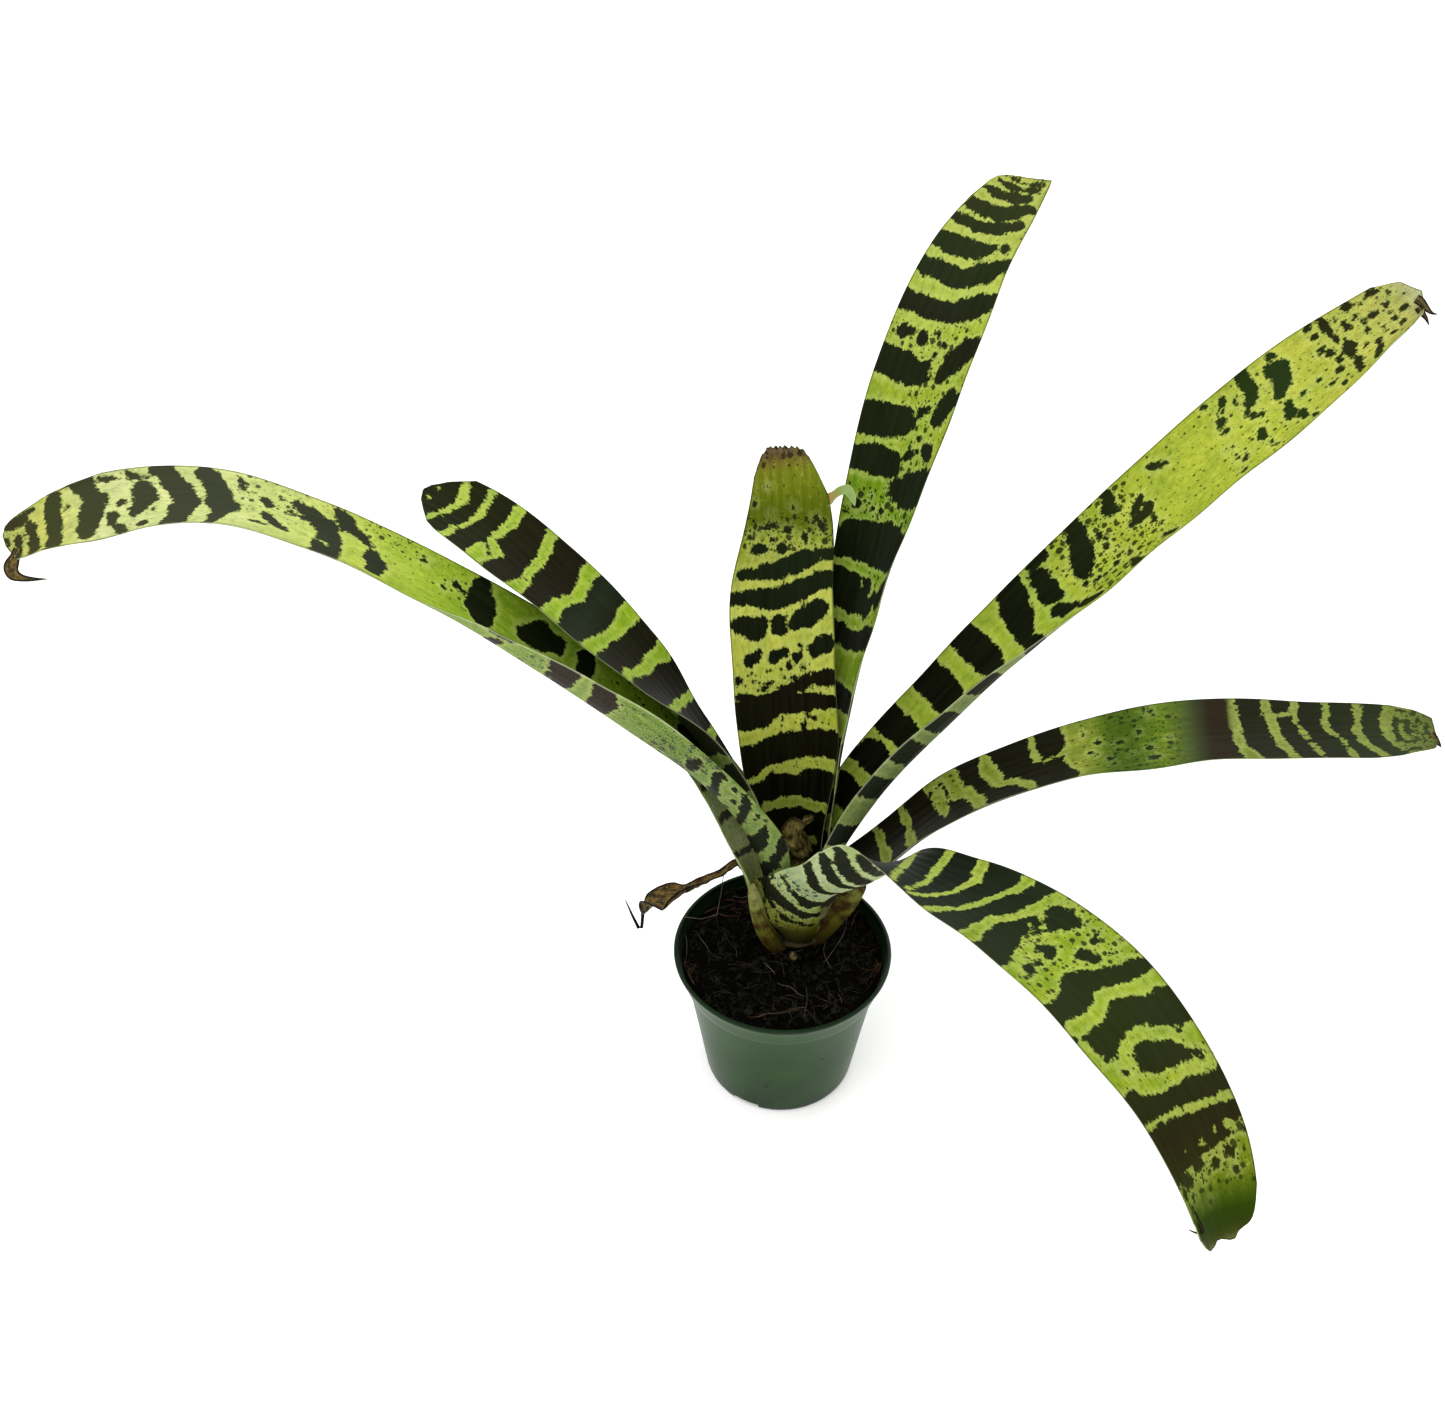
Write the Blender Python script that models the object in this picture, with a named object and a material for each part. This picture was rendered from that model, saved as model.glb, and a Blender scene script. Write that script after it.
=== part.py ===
# %% [markdown]
# # Potted banded bromeliad (splenriet vriesea) in a green nursery pot
#
# The plant is a loose rosette of eight strap leaves on a short rootstock. Every leaf is one ribbon:
# its foot wraps the rootstock like a sleeve, and the blade then leaves the funnel and flattens.
# Lengths in the tables are millimetres. +Z is up, +X is the side of leaf 5 and leaf 6, and -Y is the
# side of leaf 7. The origin is the middle of the pot's base, on the surface that the pot stands on.

# %% Tools
import math

import bmesh
import bpy
from mathutils import Matrix, Vector

MM = 0.001

# %% Driving dimensions: pot
POT_HEIGHT = 82.0
RIM_RADIUS = 53.3
LIP_HEIGHT = 2.0
LIP_STEP = 0.6
COLLAR_HEIGHT = 15.0
COLLAR_FOOT_RADIUS = 48.8
BODY_STEP = 1.6
BODY_STEP_HEIGHT = 1.2
FOOT_RADIUS = 37.4
FOOT_ROUNDING = 2.0
WALL = 1.4
FLOOR = 1.8
ROUND_SEGMENTS = 48
NOTCH_ANGLES = (-124.0, -10.0, 112.0)
NOTCH_WIDTH = 12.0
NOTCH_HEIGHT = 4.5
NOTCH_DEPTH = 7.0

# %% Driving dimensions: soil and rootstock
SOIL_TOP = 75.0
SOIL_GAP = 0.3
SOIL_BUMP = 0.9
PLANT_X = 7.0
PLANT_Y = 19.0
STOCK_RADIUS = 12.6
STOCK_FOOT = 44.0
STOCK_SHOULDER_RADIUS = 14.3
STOCK_SHOULDER = 77.0
STOCK_CONE_TOP = 88.3
STOCK_TOP_RADIUS = 4.6
HOLE_GAP = 0.4

# %% Driving dimensions: leaves
LEAF_THICKNESS = 0.8
ALONG = 24
END_ROWS = 4
ACROSS = 10
SLANT_REACH = 60.0
THINNEST_CURL = 2.0

# Each row of a leaf: out from the plant's middle, height, sideways, width round the section,
# half angle of the section's curl in degrees, roll in degrees.
LEAF_1_LEFT = [
    (11.5, 82, 0, 39, 97, 0), (15, 106.5, -1, 44.5, 77.5, 3.5), (26.5, 141.5, -1.5, 60, 59.5, 20.5),
    (47, 178, 3.5, 68, 52, 22.5), (80, 212, 6, 65, 74, 18.5), (125, 248, 2, 56, 67, 13.5),
    (163.5, 280.5, 1.5, 45, 43, 5.5), (208.5, 304, -3, 41, 40, 4.5), (249.5, 314.5, -8.5, 40, 35, -3.5),
    (299, 314, -1, 36.5, 34, -18), (333, 303, 11, 31.5, 48.5, -16),
]
LEAF_2_UPPER_LEFT = [
    (8.5, 85, 0, 30, 99, 0), (12.5, 107, -1, 36, 81, 2), (28, 145, 1.5, 42, 61.5, 29.5),
    (48.5, 187, 1.5, 46, 45, 33.5), (79, 226, 2, 47.5, 32, 11.5), (119, 263, 0.5, 45, 26, -4.5),
    (152.5, 288, -0.5, 39, 22.5, -9), (175, 299.5, 0.5, 31.5, 20, -12.5),
]
LEAF_3_CENTRE = [
    (6, 88.5, 0, 24, 118, 0), (9, 109, 0, 38, 111, -1), (17, 140.5, 2.5, 44.5, 75.5, -4),
    (24.5, 171.5, 2.5, 50, 46, -4), (35, 208, 3.5, 49.5, 29.5, -2.5), (47.5, 249.5, 4, 47.5, 18.5, -2.5),
    (59.5, 286, -0.5, 38, 13.5, 2), (73.5, 309, 0.5, 23.5, 11, 9.5),
]
LEAF_4_UPPER_RIGHT = [
    (7.5, 87, 0, 25, 98, 0), (11, 108.5, 0, 33, 81.5, -1), (30.5, 170.5, 2.5, 38, 63, -17.5),
    (51, 232.5, 2.5, 40.5, 48.5, -27), (69, 289, 1.5, 45, 37.5, -16), (94, 340, 2, 45, 28.5, -3),
    (129.5, 382, 1.5, 38, 19.5, 6.5), (175.5, 408.5, -2.5, 22, 13, 8.5),
]
LEAF_5_RIGHT = [
    (10, 83.5, 0, 34, 96, 0), (14, 106, 0.5, 41.5, 88, -5), (38.5, 156.5, 1, 51, 89, -15),
    (77.5, 204.5, 1.5, 53, 77.5, -13), (118, 253.5, 0.5, 49, 55, 2), (167, 303, 1, 48, 44.5, 9.5),
    (216.5, 349, 0, 45.5, 43.5, 12), (261, 385, -4.5, 39, 52.5, -7.5),
]
LEAF_6_RIGHT_LOW = [
    (13, 80.5, 0, 44, 96, 0), (21, 106.5, -0.5, 36.5, 53, -5), (43, 135.5, -3.5, 40, 40.5, -2),
    (69, 168.5, -4, 43, 39, -4), (112, 198, -2, 43.5, 38, -4), (165.5, 220, -0.5, 43, 32.5, 0.5),
    (223, 229, 0.5, 38, 24, 1), (271, 236, 1.5, 27.5, 11.5, 0),
]
LEAF_7_FRONT_RIGHT = [
    (14.5, 78.5, 0, 46, 92, 0), (17, 91, 1.5, 46, 56.5, 1), (24.5, 117.5, -3, 47, 45, -22.5),
    (45, 148, -4.5, 44.5, 40, -30.5), (66.5, 178.5, -1.5, 43, 39.5, -23), (105, 197, -1, 45, 33.5, -7.5),
    (156.5, 214, 0, 48, 30, 3), (208.5, 215.5, 1.5, 44, 32, 11.5), (251, 195.5, 0.5, 39, 42, 5),
    (275.5, 165, -3.5, 35, 53.5, -8),
]
LEAF_8_UNDER_LEFT = [
    (16, 77.5, 0, 46, 84, 0), (22, 103.5, 0.5, 48.5, 54, -3), (26.5, 120.5, -0.5, 43.5, 40.5, -1.5),
    (35.5, 140.5, -0.5, 36.5, 30, 2.5), (45.5, 163.5, -1, 27.5, 20.5, 6.5), (59.5, 186, -0.5, 17, 11.5, 9),
]
DEAD_LEAF = [
    (17, 75.4, -12, 5, 40, 0), (21, 92, -11, 4.5, 40, 0), (26, 109, -8, 4.5, 40, -10),
    (30, 117, -4, 4.5, 40, -20), (36, 115, 0, 5, 50, -20), (45, 109, 0, 6, 60, -10),
    (54, 102.5, 1, 9, 50, 10), (63, 98, 0, 13, 45, -15), (69, 94, 0, 12, 55, 10), (76, 85.5, 0, 4, 40, 0),
]
DRY_CENTRE = [
    (0, 89, 0, 5, 60, 0), (0, 108, 0, 7, 70, 20), (1, 124, 1, 13, 60, -20),
    (1, 138, 0, 16, 40, 30), (3, 147, -1, 14, 50, 0), (6, 154, -2, 7, 60, -30),
]
YOUNG_LEAF = [
    (3.4, 89, 0, 3, 60, 0), (4.5, 104, 0, 5, 70, 0), (7, 117, 0, 7, 70, 0), (11, 128, 0, 3, 50, 0),
]

# A leaf's end: length of the rounding, share of the width left on the left and on the right side, and
# how much further the right corner reaches than the left one. Then the leaf's mean colour.
LEAVES = [
    ("leaf_1_left", 178, LEAF_1_LEFT, (16, 0.25, 0.30, 0), (0.195, 0.239, 0.062)),
    ("leaf_2_upper_left", 163, LEAF_2_UPPER_LEFT, (16, 0.35, 0.40, 0), (0.079, 0.101, 0.020)),
    ("leaf_3_centre", 97, LEAF_3_CENTRE, (10, 0.65, 0.62, 0), (0.080, 0.092, 0.014)),
    ("leaf_4_upper_right", 56, LEAF_4_UPPER_RIGHT, (8, 0.75, 1.00, 12), (0.097, 0.130, 0.025)),
    ("leaf_5_right", 15, LEAF_5_RIGHT, (14, 0.60, 0.50, 0), (0.163, 0.199, 0.030)),
    ("leaf_6_right_low", -8, LEAF_6_RIGHT_LOW, (9, 0.72, 1.00, 4), (0.071, 0.094, 0.019)),
    ("leaf_7_front_right", -58, LEAF_7_FRONT_RIGHT, (14, 0.45, 0.90, 0), (0.107, 0.140, 0.022)),
    ("leaf_8_under_left", 168, LEAF_8_UNDER_LEFT, (14, 0.35, 0.35, 0), (0.134, 0.160, 0.051)),
]
# The torn sliver of leaf 3 that hangs over to leaf 4: where it leaves the right edge, and its path as
# steps to +X, +Y and up from there with the strip's width.
SLIVER_AT = 0.897
SLIVER_THICKNESS = 0.9
SLIVER_PATH = [
    (-2.5, 0.0, -0.6, 6.0), (2.4, 0.5, 2.7, 3.4), (5.9, 1.5, 4.1, 4.0), (9.5, 1.9, 4.7, 4.8),
    (11.4, 1.9, 1.7, 4.6), (12.4, 1.2, -4.2, 3.6), (12.0, 0.2, -11.6, 1.2),
]

# %% [markdown]
# ## Shared tools
# A clean start, one finish for each piece, a turned body from a profile, and the leaf ribbon.

# %% Scene and finishes
for old in list(bpy.data.objects):
    bpy.data.objects.remove(old, do_unlink=True)


def finish(name, colour, roughness):
    """A plain finish with its own name, colour and roughness."""
    made = bpy.data.materials.new(name)
    made.use_nodes = True
    shader = made.node_tree.nodes["Principled BSDF"]
    shader.inputs["Base Color"].default_value = (*colour, 1.0)
    shader.inputs["Roughness"].default_value = roughness
    return made


def named_object(name, bm, material, sharp_degrees=35.0):
    """Turns a bmesh into a named object with one finish, smooth over its gentle edges."""
    bmesh.ops.recalc_face_normals(bm, faces=bm.faces[:])
    mesh = bpy.data.meshes.new(name)
    bm.to_mesh(mesh)
    bm.free()
    mesh.materials.append(material)
    for face in mesh.polygons:
        face.use_smooth = True
    mesh.set_sharp_from_angle(angle=math.radians(sharp_degrees))
    made = bpy.data.objects.new(name, mesh)
    bpy.context.scene.collection.objects.link(made)
    return made


def turned(profile, segments, centre=(0.0, 0.0)):
    """A body of revolution about a vertical axis. The profile starts and ends on the axis."""
    bm = bmesh.new()
    points = [bm.verts.new((radius * MM, 0.0, height * MM)) for radius, height in profile]
    edges = [bm.edges.new(pair) for pair in zip(points[:-1], points[1:])]
    bmesh.ops.spin(bm, geom=points + edges, cent=(0, 0, 0), axis=(0, 0, 1), angle=2 * math.pi,
                   steps=segments, use_merge=True)
    bmesh.ops.remove_doubles(bm, verts=bm.verts[:], dist=1e-6)
    bmesh.ops.translate(bm, verts=bm.verts[:], vec=(centre[0] * MM, centre[1] * MM, 0.0))
    return bm


def hidden_cutter(name, bm):
    """A cutting body that is never rendered."""
    mesh = bpy.data.meshes.new(name)
    bmesh.ops.recalc_face_normals(bm, faces=bm.faces[:])
    bm.to_mesh(mesh)
    bm.free()
    cutter = bpy.data.objects.new(name, mesh)
    bpy.context.scene.collection.objects.link(cutter)
    cutter.hide_render = True
    cutter.display_type = "WIRE"
    return cutter


def boolean(target, tool, operation):
    """An exact Boolean of the tool with the target."""
    change = target.modifiers.new(operation.lower() + "_" + tool.name, "BOOLEAN")
    change.object = tool
    change.operation = operation
    change.solver = "EXACT"


# %% [markdown]
# The leaf's middle line runs smoothly through its rows. Each cross-section is an arc: a wide angle at
# the foot makes the sleeve, and a small angle near the end makes the nearly flat strap.

# %% Leaf ribbon
def smooth_value(knots, values, at):
    """Cubic through the values, with slopes taken from the neighbours on both sides."""
    last = len(knots) - 1
    slopes = []
    for k in range(last + 1):
        before = max(k - 1, 0)
        after = min(k + 1, last)
        if 0 < k < last:
            left = (values[k] - values[before]) / (knots[k] - knots[before])
            right = (values[after] - values[k]) / (knots[after] - knots[k])
            span_left = knots[k] - knots[before]
            span_right = knots[after] - knots[k]
            slopes.append((right * span_left + left * span_right) / (span_left + span_right))
        else:
            slopes.append((values[after] - values[before]) / (knots[after] - knots[before]))
    k = 0
    while k < last - 1 and at > knots[k + 1]:
        k += 1
    span = knots[k + 1] - knots[k]
    s = min(max((at - knots[k]) / span, 0.0), 1.0)
    return ((2 * s ** 3 - 3 * s ** 2 + 1) * values[k] + (s ** 3 - 2 * s ** 2 + s) * span * slopes[k]
            + (-2 * s ** 3 + 3 * s ** 2) * values[k + 1] + (s ** 3 - s ** 2) * span * slopes[k + 1])


class Ribbon:
    """A leaf's smooth surface, asked by the length along it and the share across it."""

    def __init__(self, heading, rows, end):
        angle = math.radians(heading)
        self.out = Vector((math.cos(angle), math.sin(angle), 0.0))
        self.left = Vector((-math.sin(angle), math.cos(angle), 0.0))
        self.columns = list(zip(*rows))
        self.knots = [0.0]
        for a, b in zip(rows[:-1], rows[1:]):
            self.knots.append(self.knots[-1] + math.dist(a[:3], b[:3]))
        self.length = self.knots[-1]
        self.round_length, self.left_share, self.right_share, self.slant = end

    def row(self, at):
        """The interpolated row at a length along the leaf."""
        return [smooth_value(self.knots, column, at) for column in self.columns]

    def middle(self, at):
        """The point of the middle line at a length along the leaf."""
        out, up, side = self.row(at)[:3]
        return Vector((PLANT_X, PLANT_Y, up)) + self.out * out + self.left * side

    def frame(self, at):
        """The middle point, the sideways direction and the upper face's direction."""
        step = self.length * 0.001
        ahead = self.middle(min(at + step, self.length)) - self.middle(max(at - step, 0.0))
        tangent = ahead.normalized()
        side = (self.left - tangent * tangent.dot(self.left)).normalized()
        upper = tangent.cross(side)
        roll = math.radians(self.row(at)[5])
        rolled_side = side * math.cos(roll) + upper * math.sin(roll)
        rolled_upper = upper * math.cos(roll) - side * math.sin(roll)
        return self.middle(at), rolled_side, rolled_upper

    def end_factor(self, at, across):
        """The share of the width that the rounded end leaves on this side."""
        share = self.left_share if across > 0 else self.right_share
        left_over = (self.length - at) / self.round_length
        if left_over >= 1.0:
            return 1.0
        return share + (1.0 - share) * math.sqrt(max(1.0 - (1.0 - left_over) ** 2, 0.0))

    def point(self, at, across):
        """A point of the surface, with across from -1 at the right edge to 1 at the left edge."""
        nearness = min(max((at - self.length) / SLANT_REACH + 1.0, 0.0), 1.0) ** 2
        shorter_side = (1.0 + across) / 2 if self.slant > 0 else (1.0 - across) / 2
        slanted_at = at - abs(self.slant) * nearness * shorter_side
        middle, side, upper = self.frame(slanted_at)
        width, curl = self.row(slanted_at)[3:5]
        half_angle = math.radians(max(curl, THINNEST_CURL))
        radius = width / 2 / half_angle
        turn = across * half_angle * self.end_factor(at, across)
        return middle + side * (radius * math.sin(turn)) + upper * (radius * (1 - math.cos(turn)))

    def stations(self, body_rows, crowd):
        """Lengths of the cross-sections: closer at the foot, and close again in the rounded end."""
        body = self.length - self.round_length
        lengths = [body * (k / body_rows) ** crowd for k in range(body_rows + 1)]
        for k in range(1, END_ROWS + 1):
            lengths.append(body + self.round_length * math.sin(math.pi / 2 * k / END_ROWS))
        return lengths


def leaf_solid(name, ribbon, material, body_rows=ALONG, across=ACROSS, crowd=1.25):
    """A leaf as a closed solid of even thickness: a grid laid on the ribbon and given its thickness."""
    lengths = ribbon.stations(body_rows, crowd)
    bm = bmesh.new()
    bmesh.ops.create_grid(bm, x_segments=across, y_segments=len(lengths) - 1, size=0.5)
    for vert in bm.verts:
        row = round((vert.co.y + 0.5) * (len(lengths) - 1))
        vert.co = ribbon.point(lengths[row], vert.co.x * 2.0) * MM
    bmesh.ops.triangulate(bm, faces=bm.faces[:], quad_method="FIXED")
    made = named_object(name, bm, material, 60.0)
    shell = made.modifiers.new("leaf thickness", "SOLIDIFY")
    shell.thickness = LEAF_THICKNESS * MM
    shell.offset = 0.0
    return made


# %% [markdown]
# ## Pot
# A thin moulded pot: a tapered body, a wider collar with a small rolled lip, and three drain notches
# cut through the corner between wall and base.

# %% Pot
pot_green = finish("pot green plastic", (0.06, 0.16, 0.075), 0.42)
COLLAR_FOOT = POT_HEIGHT - COLLAR_HEIGHT
LIP_FOOT = POT_HEIGHT - LIP_HEIGHT
OUTER_FACE = [
    (FOOT_ROUNDING, FOOT_RADIUS + 0.3),
    (COLLAR_FOOT - BODY_STEP_HEIGHT, COLLAR_FOOT_RADIUS - BODY_STEP),
    (COLLAR_FOOT, COLLAR_FOOT_RADIUS),
    (LIP_FOOT - 0.4, RIM_RADIUS - LIP_STEP),
    (POT_HEIGHT, RIM_RADIUS - LIP_STEP),
]


def inner_radius(height):
    """The radius of the pot's inner face at a height: the outer face less the wall."""
    for (low, low_radius), (high, high_radius) in zip(OUTER_FACE[:-1], OUTER_FACE[1:]):
        if height <= high:
            share = max(height - low, 0.0) / (high - low)
            return low_radius + (high_radius - low_radius) * share - WALL
    return OUTER_FACE[-1][1] - WALL


pot_profile = [
    (0.0, 0.0),
    (FOOT_RADIUS - FOOT_ROUNDING, 0.0),
    (FOOT_RADIUS - 0.3 * FOOT_ROUNDING, 0.3 * FOOT_ROUNDING),
]
pot_profile += [(radius, height) for height, radius in OUTER_FACE[:-1]]
pot_profile += [
    (RIM_RADIUS, LIP_FOOT + 0.2),
    (RIM_RADIUS, POT_HEIGHT - 0.5),
    (RIM_RADIUS - 0.5, POT_HEIGHT),
    (inner_radius(POT_HEIGHT) + 0.4, POT_HEIGHT),
    (inner_radius(POT_HEIGHT), POT_HEIGHT - 0.5),
]
pot_profile += [(radius - WALL, height) for height, radius in reversed(OUTER_FACE[1:-1])]
pot_profile += [
    (inner_radius(FLOOR + 1.0), FLOOR + 1.0),
    (inner_radius(FLOOR) - 1.0, FLOOR),
    (0.0, FLOOR),
]
pot = named_object("pot", turned(pot_profile, ROUND_SEGMENTS), pot_green)
for number, angle in enumerate(NOTCH_ANGLES):
    cutter_bm = bmesh.new()
    bmesh.ops.create_cube(cutter_bm, size=1.0)
    size = Matrix.Diagonal((2 * NOTCH_DEPTH * MM, NOTCH_WIDTH * MM, 2 * NOTCH_HEIGHT * MM, 1.0))
    place = Matrix.Rotation(math.radians(angle), 4, "Z") @ Matrix.Translation((FOOT_RADIUS * MM, 0, 0))
    bmesh.ops.transform(cutter_bm, matrix=place @ size, verts=cutter_bm.verts[:])
    boolean(pot, hidden_cutter("drain_cutter_%d" % (number + 1), cutter_bm), "DIFFERENCE")

# %% [markdown]
# ## Soil
# The potting mix fills the pot to a few millimetres below the lip. Its top is uneven, and it has one
# plain hole for the rootstock. The soil stands a little clear of the notches in the pot's corner.

# %% Soil
soil_brown = finish("dark potting mix", (0.018, 0.012, 0.008), 0.95)
soil_floor = FLOOR + SOIL_GAP


def soil_radius(height):
    """The soil's radius just inside the pot's wall."""
    return inner_radius(height) - SOIL_GAP - 0.1


body_top = COLLAR_FOOT - BODY_STEP_HEIGHT
soil_profile = [(0.0, soil_floor), (soil_radius(FLOOR) - 1.4, soil_floor),
                (soil_radius(FLOOR + 1.4), FLOOR + 1.7), (soil_radius(body_top), body_top)]
soil_profile += [(soil_radius(SOIL_TOP - 1.0), SOIL_TOP - 1.0), (44.0, SOIL_TOP), (36.0, SOIL_TOP),
                 (27.0, SOIL_TOP), (17.0, SOIL_TOP), (0.0, SOIL_TOP)]
soil_bm = turned(soil_profile, 28)
hole_centre = Vector((PLANT_X * MM, PLANT_Y * MM, 0.0))
for vert in soil_bm.verts:
    flat = Vector((vert.co.x, vert.co.y, 0.0))
    if vert.co.z > (SOIL_TOP - 0.5) * MM and (flat - hole_centre).length > 18 * MM:
        x, y = vert.co.x / MM, vert.co.y / MM
        bump = math.sin(0.21 * x + 0.9) * math.cos(0.17 * y - 0.4) + 0.5 * math.sin(0.43 * x - 0.31 * y)
        vert.co.z += SOIL_BUMP * bump * MM
soil = named_object("soil", soil_bm, soil_brown, 50.0)
hole_profile = [(0.0, STOCK_FOOT - HOLE_GAP), (STOCK_RADIUS + HOLE_GAP, STOCK_FOOT - HOLE_GAP),
                (STOCK_RADIUS + HOLE_GAP, POT_HEIGHT), (0.0, POT_HEIGHT)]
hole_cutter = hidden_cutter("hole_cutter", turned(hole_profile, 24, (PLANT_X, PLANT_Y)))
boolean(soil, hole_cutter, "DIFFERENCE")

# %% [markdown]
# ## Rootstock
# The short stem that everything grows from. It stands in the soil's hole, widens at the surface, and
# ends in a cone with the feet of the leaves round it.

# %% Rootstock
stock_olive = finish("olive rootstock", (0.13, 0.12, 0.03), 0.7)
stock_profile = [
    (0.0, STOCK_FOOT), (STOCK_RADIUS - 2.0, STOCK_FOOT), (STOCK_RADIUS - 0.4, STOCK_FOOT + 6.0),
    (STOCK_RADIUS - 0.4, SOIL_TOP + 0.3), (STOCK_SHOULDER_RADIUS, SOIL_TOP + 1.0),
    (STOCK_SHOULDER_RADIUS, STOCK_SHOULDER), (STOCK_TOP_RADIUS, STOCK_CONE_TOP), (0.0, STOCK_CONE_TOP),
]
stock = named_object("rootstock", turned(stock_profile, 24, (PLANT_X, PLANT_Y)), stock_olive, 30.0)

# %% [markdown]
# ## Leaves
# Eight straps, oldest outermost. Leaf 3 also carries a torn sliver of its right edge, which curls over
# to the side and hangs down.

# %% Leaves
ribbons = {}
for name, heading, rows, end, colour in LEAVES:
    ribbons[name] = Ribbon(heading, rows, end)
    body_rows = 12 if name == "leaf_8_under_left" else ALONG
    leaf_solid(name, ribbons[name], finish(name + " green", colour, 0.4), body_rows)

# %% Torn sliver of leaf 3
centre_leaf = ribbons["leaf_3_centre"]
root = centre_leaf.point(centre_leaf.length * SLIVER_AT, -1.0)
sliver_bm = bmesh.new()
bmesh.ops.create_grid(sliver_bm, x_segments=2, y_segments=len(SLIVER_PATH) - 1, size=0.5)
for vert in sliver_bm.verts:
    step = round((vert.co.y + 0.5) * (len(SLIVER_PATH) - 1))
    towards_x, towards_y, rise, width = SLIVER_PATH[step]
    lean = Vector((0.2, -0.2, 0.95)) if step < 4 else Vector((0.95, -0.2, 0.2))
    vert.co = (root + Vector((towards_x, towards_y, rise)) + lean * (vert.co.x * width)) * MM
bmesh.ops.triangulate(sliver_bm, faces=sliver_bm.faces[:], quad_method="FIXED")
sliver = hidden_cutter("sliver_tool", sliver_bm)
sliver_shell = sliver.modifiers.new("sliver thickness", "SOLIDIFY")
sliver_shell.thickness = SLIVER_THICKNESS * MM
sliver_shell.offset = 0.0
boolean(bpy.data.objects["leaf_3_centre"], sliver, "UNION")

# %% [markdown]
# ## Dead and young leaves
# One old leaf has dried to a brown strip on a thin stalk. It stands on the soil beside the rootstock
# and hangs over the pot's lip. In the cup, a crumpled dry leaf and a short green one stand on the
# rootstock's top.

# %% Dead leaf, dry centre leaf and young leaf
dead_brown = finish("dead leaf brown", (0.16, 0.075, 0.025), 0.8)
dry_brown = finish("dry centre leaf brown", (0.12, 0.055, 0.02), 0.85)
young_green = finish("young leaf green", (0.2, 0.33, 0.05), 0.45)
leaf_solid("dead_leaf", Ribbon(180, DEAD_LEAF, (8, 0.5, 0.5, 0)), dead_brown, 16, 4, 1.0)
leaf_solid("dry_centre_leaf", Ribbon(-60, DRY_CENTRE, (6, 0.6, 0.6, 0)), dry_brown, 8, 4, 1.0)
leaf_solid("young_leaf", Ribbon(-40, YOUNG_LEAF, (6, 0.3, 0.3, 0)), young_green, 6, 4, 1.0)
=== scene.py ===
# %% [markdown]
# # A potted splenriet vriesea in Blender
#
# The plant is a banded bromeliad: eight strap leaves with dark cross-bands, a dead leaf, a dry
# remnant in the cup, a rootstock, potting mix and a thin green nursery pot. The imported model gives
# where every part is. This file dresses it: each CAD solid gets a finer piece with a real finish.

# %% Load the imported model
import math
import random

import bmesh
import bpy
import numpy as np
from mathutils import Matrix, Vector, noise


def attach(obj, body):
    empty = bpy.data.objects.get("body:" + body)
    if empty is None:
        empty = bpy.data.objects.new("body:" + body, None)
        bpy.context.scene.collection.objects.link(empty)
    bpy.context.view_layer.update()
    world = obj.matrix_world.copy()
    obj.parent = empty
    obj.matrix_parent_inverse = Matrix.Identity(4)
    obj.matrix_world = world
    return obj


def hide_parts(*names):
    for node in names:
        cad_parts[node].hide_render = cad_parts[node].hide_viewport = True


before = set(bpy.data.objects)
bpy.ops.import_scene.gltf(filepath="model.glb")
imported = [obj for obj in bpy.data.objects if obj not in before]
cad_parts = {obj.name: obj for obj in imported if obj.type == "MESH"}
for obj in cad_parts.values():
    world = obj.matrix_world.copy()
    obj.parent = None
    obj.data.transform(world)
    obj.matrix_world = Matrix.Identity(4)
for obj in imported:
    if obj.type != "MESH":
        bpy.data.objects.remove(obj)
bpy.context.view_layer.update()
MM = 0.001
print("nodes:", ", ".join(sorted(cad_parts)))

# %% [markdown]
# ## Camera
# The photo looks down on the plant by about 40 degrees. A 42 mm lens on a 36 mm sensor gives the
# same spread of the leaves, near ones larger than far ones, so the camera comes before any modelling.

# %% Camera
CAMERA_PLACE = (-0.0294, -0.56201, 0.70868)
CAMERA_DOWN = 40.3
CAMERA_LENS = 42.353
camera_data = bpy.data.cameras.new("photo camera")
camera_data.lens = CAMERA_LENS
camera_data.sensor_width = 36.0
camera = bpy.data.objects.new("photo camera", camera_data)
camera.location = CAMERA_PLACE
camera.rotation_euler = (math.radians(90.0 - CAMERA_DOWN), 0.0, 0.0)
bpy.context.scene.collection.objects.link(camera)
bpy.context.scene.camera = camera
print("camera looks down by", CAMERA_DOWN, "degrees")

# %% [markdown]
# ## Colours and nodes
# Colours are written as sRGB hex codes, as a painter reads them, and turned to the linear values that
# Blender calculates with. One function adds any node. Most finishes here are tones laid over each
# other where a pattern is strong, so a second function lays such layers.


# %% Helpers for colours and nodes
def colour(hex_code):
    """An sRGB hex colour as linear red, green, blue and alpha."""
    values = []
    for k in (1, 3, 5):
        c = int(hex_code[k:k + 2], 16) / 255.0
        values.append(c / 12.92 if c <= 0.04045 else ((c + 0.055) / 1.055) ** 2.4)
    return (*values, 1.0)


def fill(tree, node, inputs):
    """Fills a node's sockets with values or links: by name or number, or in their order."""
    for key, value in inputs.items() if isinstance(inputs, dict) else enumerate(inputs):
        if isinstance(value, bpy.types.NodeSocket):
            tree.links.new(value, node.inputs[key])
        else:
            node.inputs[key].default_value = value


def add(tree, kind, inputs=(), output=0, **settings):
    """Adds a node with its settings, values and links, and gives one of its outputs."""
    made = tree.nodes.new("ShaderNode" + kind)
    for key, value in settings.items():
        setattr(made, key, value)
    fill(tree, made, inputs)
    return made.outputs[output]


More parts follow.
